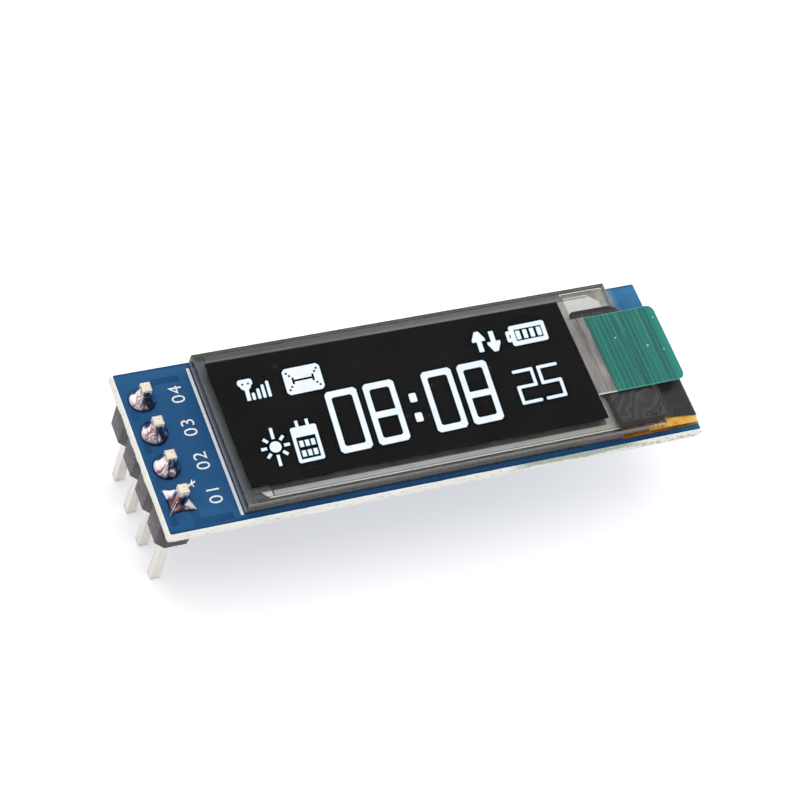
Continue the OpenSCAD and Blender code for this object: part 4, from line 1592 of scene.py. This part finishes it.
def makePassive(node, bodyMaterial, isResistor):
    low, high = cadEdges(node)
    bm = bmesh.new()
    cap = backParts["endCap"]
    addBox(
        bm, (low.x + 0.02, low.y + cap, low.z + 0.02), (high.x - 0.02, high.y - cap, high.z),
        backParts["bevel"] * 0.4, 1, 0,
    )
    addBox(bm, low, (high.x, low.y + cap, high.z), backParts["bevel"], 3, 1)
    addBox(bm, (low.x, high.y - cap, low.z), high, backParts["bevel"], 3, 1)
    if isResistor:
        addBox(
            bm, (low.x + 0.06, low.y + cap + 0.02, low.z - 0.01),
            (high.x - 0.06, high.y - cap - 0.02, low.z + 0.03), 0.0, 1, 2,
        )
    tall = (high.z - low.z) * 0.75
    centre = (low.x + high.x) / 2
    width = high.x - low.x
    addFillet(bm, centre, low.y, boardLow.z, width, backParts["fillet"], tall, -1)
    addFillet(bm, centre, high.y, boardLow.z, width, backParts["fillet"], tall, 1)
    for face in bm.faces:
        if face.calc_center_median().y < low.y or face.calc_center_median().y > high.y:
            face.material_index = 3
    bmesh.ops.recalc_face_normals(bm, faces=bm.faces)
    finishPiece(
        node + "_soldered", bm, [bodyMaterial, tinnedEnd, resistorGlaze, solderMetal], [node], 40,
    )


def makeRegulator():
    low, high = cadEdges("regulator")
    bm = bmesh.new()
    bm.from_mesh(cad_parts["regulator"].data)
    bmesh.ops.scale(bm, vec=(1 / mm, 1 / mm, 1 / mm), verts=bm.verts)
    bmesh.ops.remove_doubles(bm, verts=bm.verts, dist=0.001)
    bmesh.ops.dissolve_limit(bm, angle_limit=math.radians(1), verts=bm.verts, edges=bm.edges)
    centreY = (low.y + high.y) / 2
    halfWidth = 0.66
    for face in bm.faces:
        middle = face.calc_center_median()
        face.material_index = 1 if abs(middle.y - centreY) > halfWidth else 0
    convex = [e for e in bm.edges if e.is_manifold and e.calc_face_angle(0) > 0.3 and e.is_convex]
    bmesh.ops.bevel(bm, geom=convex, offset=0.025, segments=2, profile=0.5, affect="EDGES", material=-1)
    finishPiece("regulator_moulded", bm, [chipPackage, tinnedEnd], ["regulator"], 35)


def makeBackTracks():
    bm = bmesh.new()
    z = boardLow.z - 0.018
    t = 0.022
    width = 0.34
    columns = sorted({round((cadEdges(n)[0].x + cadEdges(n)[1].x) / 2, 2) for n in passiveNodes})
    rows = (2.6, -2.6)
    for i, x in enumerate(columns):
        for row in rows:
            side = 1 if row > 0 else -1
            addTrack(
                bm, [(x, row + side * 1.1), (x, row + side * 2.2), (x + 1.2, row + side * 2.9)], width, z, t,
            )
            addTrack(bm, [(x, row - side * 1.1), (x, row - side * 1.6), (x + 0.8, side * 0.5)], width, z, t)
    addTrack(bm, [(1.6, 3.8), (3.2, 5.3), (34.0, 5.3)], 0.5, z, t)
    addTrack(bm, [(1.6, -3.8), (3.2, -5.3), (34.0, -5.3)], 0.5, z, t)
    addTrack(bm, [(1.5, 1.3), (4.6, 1.3), (5.4, 0.5)], width, z, t)
    addTrack(bm, [(1.5, -1.3), (4.6, -1.3), (5.4, -0.5)], width, z, t)
    closeUp(bm)
    finishPiece("back_tracks", bm, [maskOverCopper], smoothBelow=0)


def makeVias():
    bm = bmesh.new()
    for k in range(9):
        x = 9.2 + 3.0 * k + 0.3 * math.sin(k * 2.1)
        y = 0.9 * math.cos(k * 1.7)
        place = Matrix.Translation((x, y, boardLow.z - 0.005))
        bmesh.ops.create_cone(
            bm, cap_ends=True, segments=20, radius1=0.22, radius2=0.26, depth=0.02, matrix=place,
        )
    bmesh.ops.recalc_face_normals(bm, faces=bm.faces)
    finishPiece("back_vias", bm, [maskOverCopper], smoothBelow=30)


bodySockets = {"Roughness": 0.5, "Specular IOR Level": 0.4}
ceramicTan, resistorBody, resistorGlaze, chipPackage = [
    makePlain(name, low, high, (5, 4, 0.6), bodySockets, (0.2, 0.01))
    for name, low, high in (
        ("ceramicTan", rgb(150, 118, 84), rgb(188, 156, 118)),
        ("resistorBody", rgb(206, 204, 198), rgb(230, 228, 222)),
        ("resistorGlaze", rgb(20, 20, 22), rgb(38, 38, 40)),
        ("chipPackage", rgb(30, 30, 32), rgb(48, 48, 50)),
    )
]
tinnedEnd = makeTin()
passiveNodes = [n for n in sorted(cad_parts) if n.startswith(("capacitor_", "resistor_"))]
for name in passiveNodes:
    if name.startswith("capacitor_"):
        makePassive(name, ceramicTan, False)
    else:
        makePassive(name, resistorBody, True)
makeRegulator()
makeBackTracks()
makeVias()
print("back made")


# inner pieces that keep their CAD shape
for node, name, low, high, scale, roughness in (
    ("mounting_tape", "foamTape", rgb(214, 214, 210), rgb(240, 240, 236), 4, 0.85),
    ("drying_sheet", "dryingPaper", rgb(220, 220, 216), rgb(244, 244, 240), 3, 0.9),
    ("emitter_layer", "emitterStack", rgb(22, 22, 26), rgb(40, 38, 48), 1, 0.3),
    ("driver_chip", "siliconChip", rgb(44, 46, 54), rgb(72, 76, 86), 2, 0.25),
):
    dressNode(node, makePlain(name, low, high, (scale, 4, 0.6), {"Roughness": roughness}, (0.2, 0.02)))
dressNode("flex_solder", solderMetal)


studio = {
    "floorDrop": 0.0,
    "floorSize": 3.0,
    "worldStrength": 0.78,
    "keyPower": 0.62,
    "keySize": 0.34,
    "keyPlace": (-0.07, 0.03, 0.46),
}


def makeFloor():
    finish = Finish("floorPaper", {"Roughness": 0.9, "Specular IOR Level": 0.0})
    grain = finish.noise(0.02, 2)
    finish.colour(finish.ramp(grain, [(0.3, rgb(240, 240, 241)), (0.7, rgb(243, 243, 244))]))
    path = finish.node("ShaderNodeLightPath")
    seen = finish.maths("MAXIMUM", path.outputs["Is Camera Ray"], path.outputs["Is Glossy Ray"])
    seen = finish.maths("MAXIMUM", seen, path.outputs["Is Transmission Ray"])
    glow = finish.node("ShaderNodeEmission")
    glow.inputs["Color"].default_value = (1, 1, 1, 1)
    finish.link(finish.times(seen, 0.33), glow.inputs["Strength"])
    both = finish.node("ShaderNodeAddShader")
    finish.link(finish.shader.outputs[0], both.inputs[0])
    finish.link(glow.outputs[0], both.inputs[1])
    finish.link(both.outputs[0], finish.output.inputs["Surface"])
    bm = bmesh.new()
    bmesh.ops.create_grid(bm, x_segments=1, y_segments=1, size=studio["floorSize"])
    bmesh.ops.translate(bm, vec=(0, 0, cadBox[0].z - studio["floorDrop"]), verts=bm.verts)
    mesh = bpy.data.meshes.new("floor")
    bm.to_mesh(mesh)
    bm.free()
    mesh.materials.append(finish.material)
    floor = bpy.data.objects.new("floor", mesh)
    bpy.context.scene.collection.objects.link(floor)


def makeWorld():
    world = bpy.data.worlds.new("studio")
    bpy.context.scene.world = world
    world.use_nodes = True
    tree = world.node_tree
    light = tree.nodes["Background"]
    light.inputs["Color"].default_value = (1.0, 1.0, 1.0, 1)
    light.inputs["Strength"].default_value = studio["worldStrength"]
    seen = tree.nodes.new("ShaderNodeBackground")
    seen.inputs["Color"].default_value = (1.0, 1.0, 1.0, 1)
    seen.inputs["Strength"].default_value = 1.0
    path = tree.nodes.new("ShaderNodeLightPath")
    first = tree.nodes.new("ShaderNodeMath")
    first.operation = "MAXIMUM"
    second = tree.nodes.new("ShaderNodeMath")
    second.operation = "MAXIMUM"
    tree.links.new(path.outputs["Is Camera Ray"], first.inputs[0])
    tree.links.new(path.outputs["Is Glossy Ray"], first.inputs[1])
    tree.links.new(first.outputs[0], second.inputs[0])
    tree.links.new(path.outputs["Is Transmission Ray"], second.inputs[1])
    mix = tree.nodes.new("ShaderNodeMixShader")
    tree.links.new(second.outputs[0], mix.inputs[0])
    tree.links.new(light.outputs[0], mix.inputs[1])
    tree.links.new(seen.outputs[0], mix.inputs[2])
    tree.links.new(mix.outputs[0], tree.nodes["World Output"].inputs["Surface"])


def makeLamp(name, place, aim, size, power):
    data = bpy.data.lights.new(name, "AREA")
    data.shape = "SQUARE"
    data.size = size
    data.energy = power
    lamp = bpy.data.objects.new(name, data)
    lamp.location = place
    lamp.rotation_mode = "QUATERNION"
    lamp.rotation_quaternion = (Vector(aim) - Vector(place)).to_track_quat("-Z", "Y")
    bpy.context.scene.collection.objects.link(lamp)


camera = {
    "place": (-53.911, -81.057, 150.679),
    "forward": (0.38774, 0.44636, -0.80649),
    "roll": 24.39,
    "lens": 125.41,
}


def makeCamera():
    data = bpy.data.cameras.new("camera")
    data.lens = camera["lens"]
    data.sensor_width = 36
    data.clip_start, data.clip_end = 0.005, 10
    made = bpy.data.objects.new("camera", data)
    forward = Vector(camera["forward"]).normalized()
    level = forward.to_track_quat("-Z", "Y").to_matrix().to_4x4()
    roll = Matrix.Rotation(math.radians(camera["roll"]), 4, "Z")
    made.matrix_world = Matrix.Translation(Vector(camera["place"]) * mm) @ level @ roll
    bpy.context.scene.collection.objects.link(made)
    bpy.context.scene.camera = made


makeFloor()
makeWorld()
centre = (cadBox[0] + cadBox[1]) / 2
makeLamp("key", centre + Vector(studio["keyPlace"]), centre, studio["keySize"], studio["keyPower"])
makeCamera()
print("stage ready")
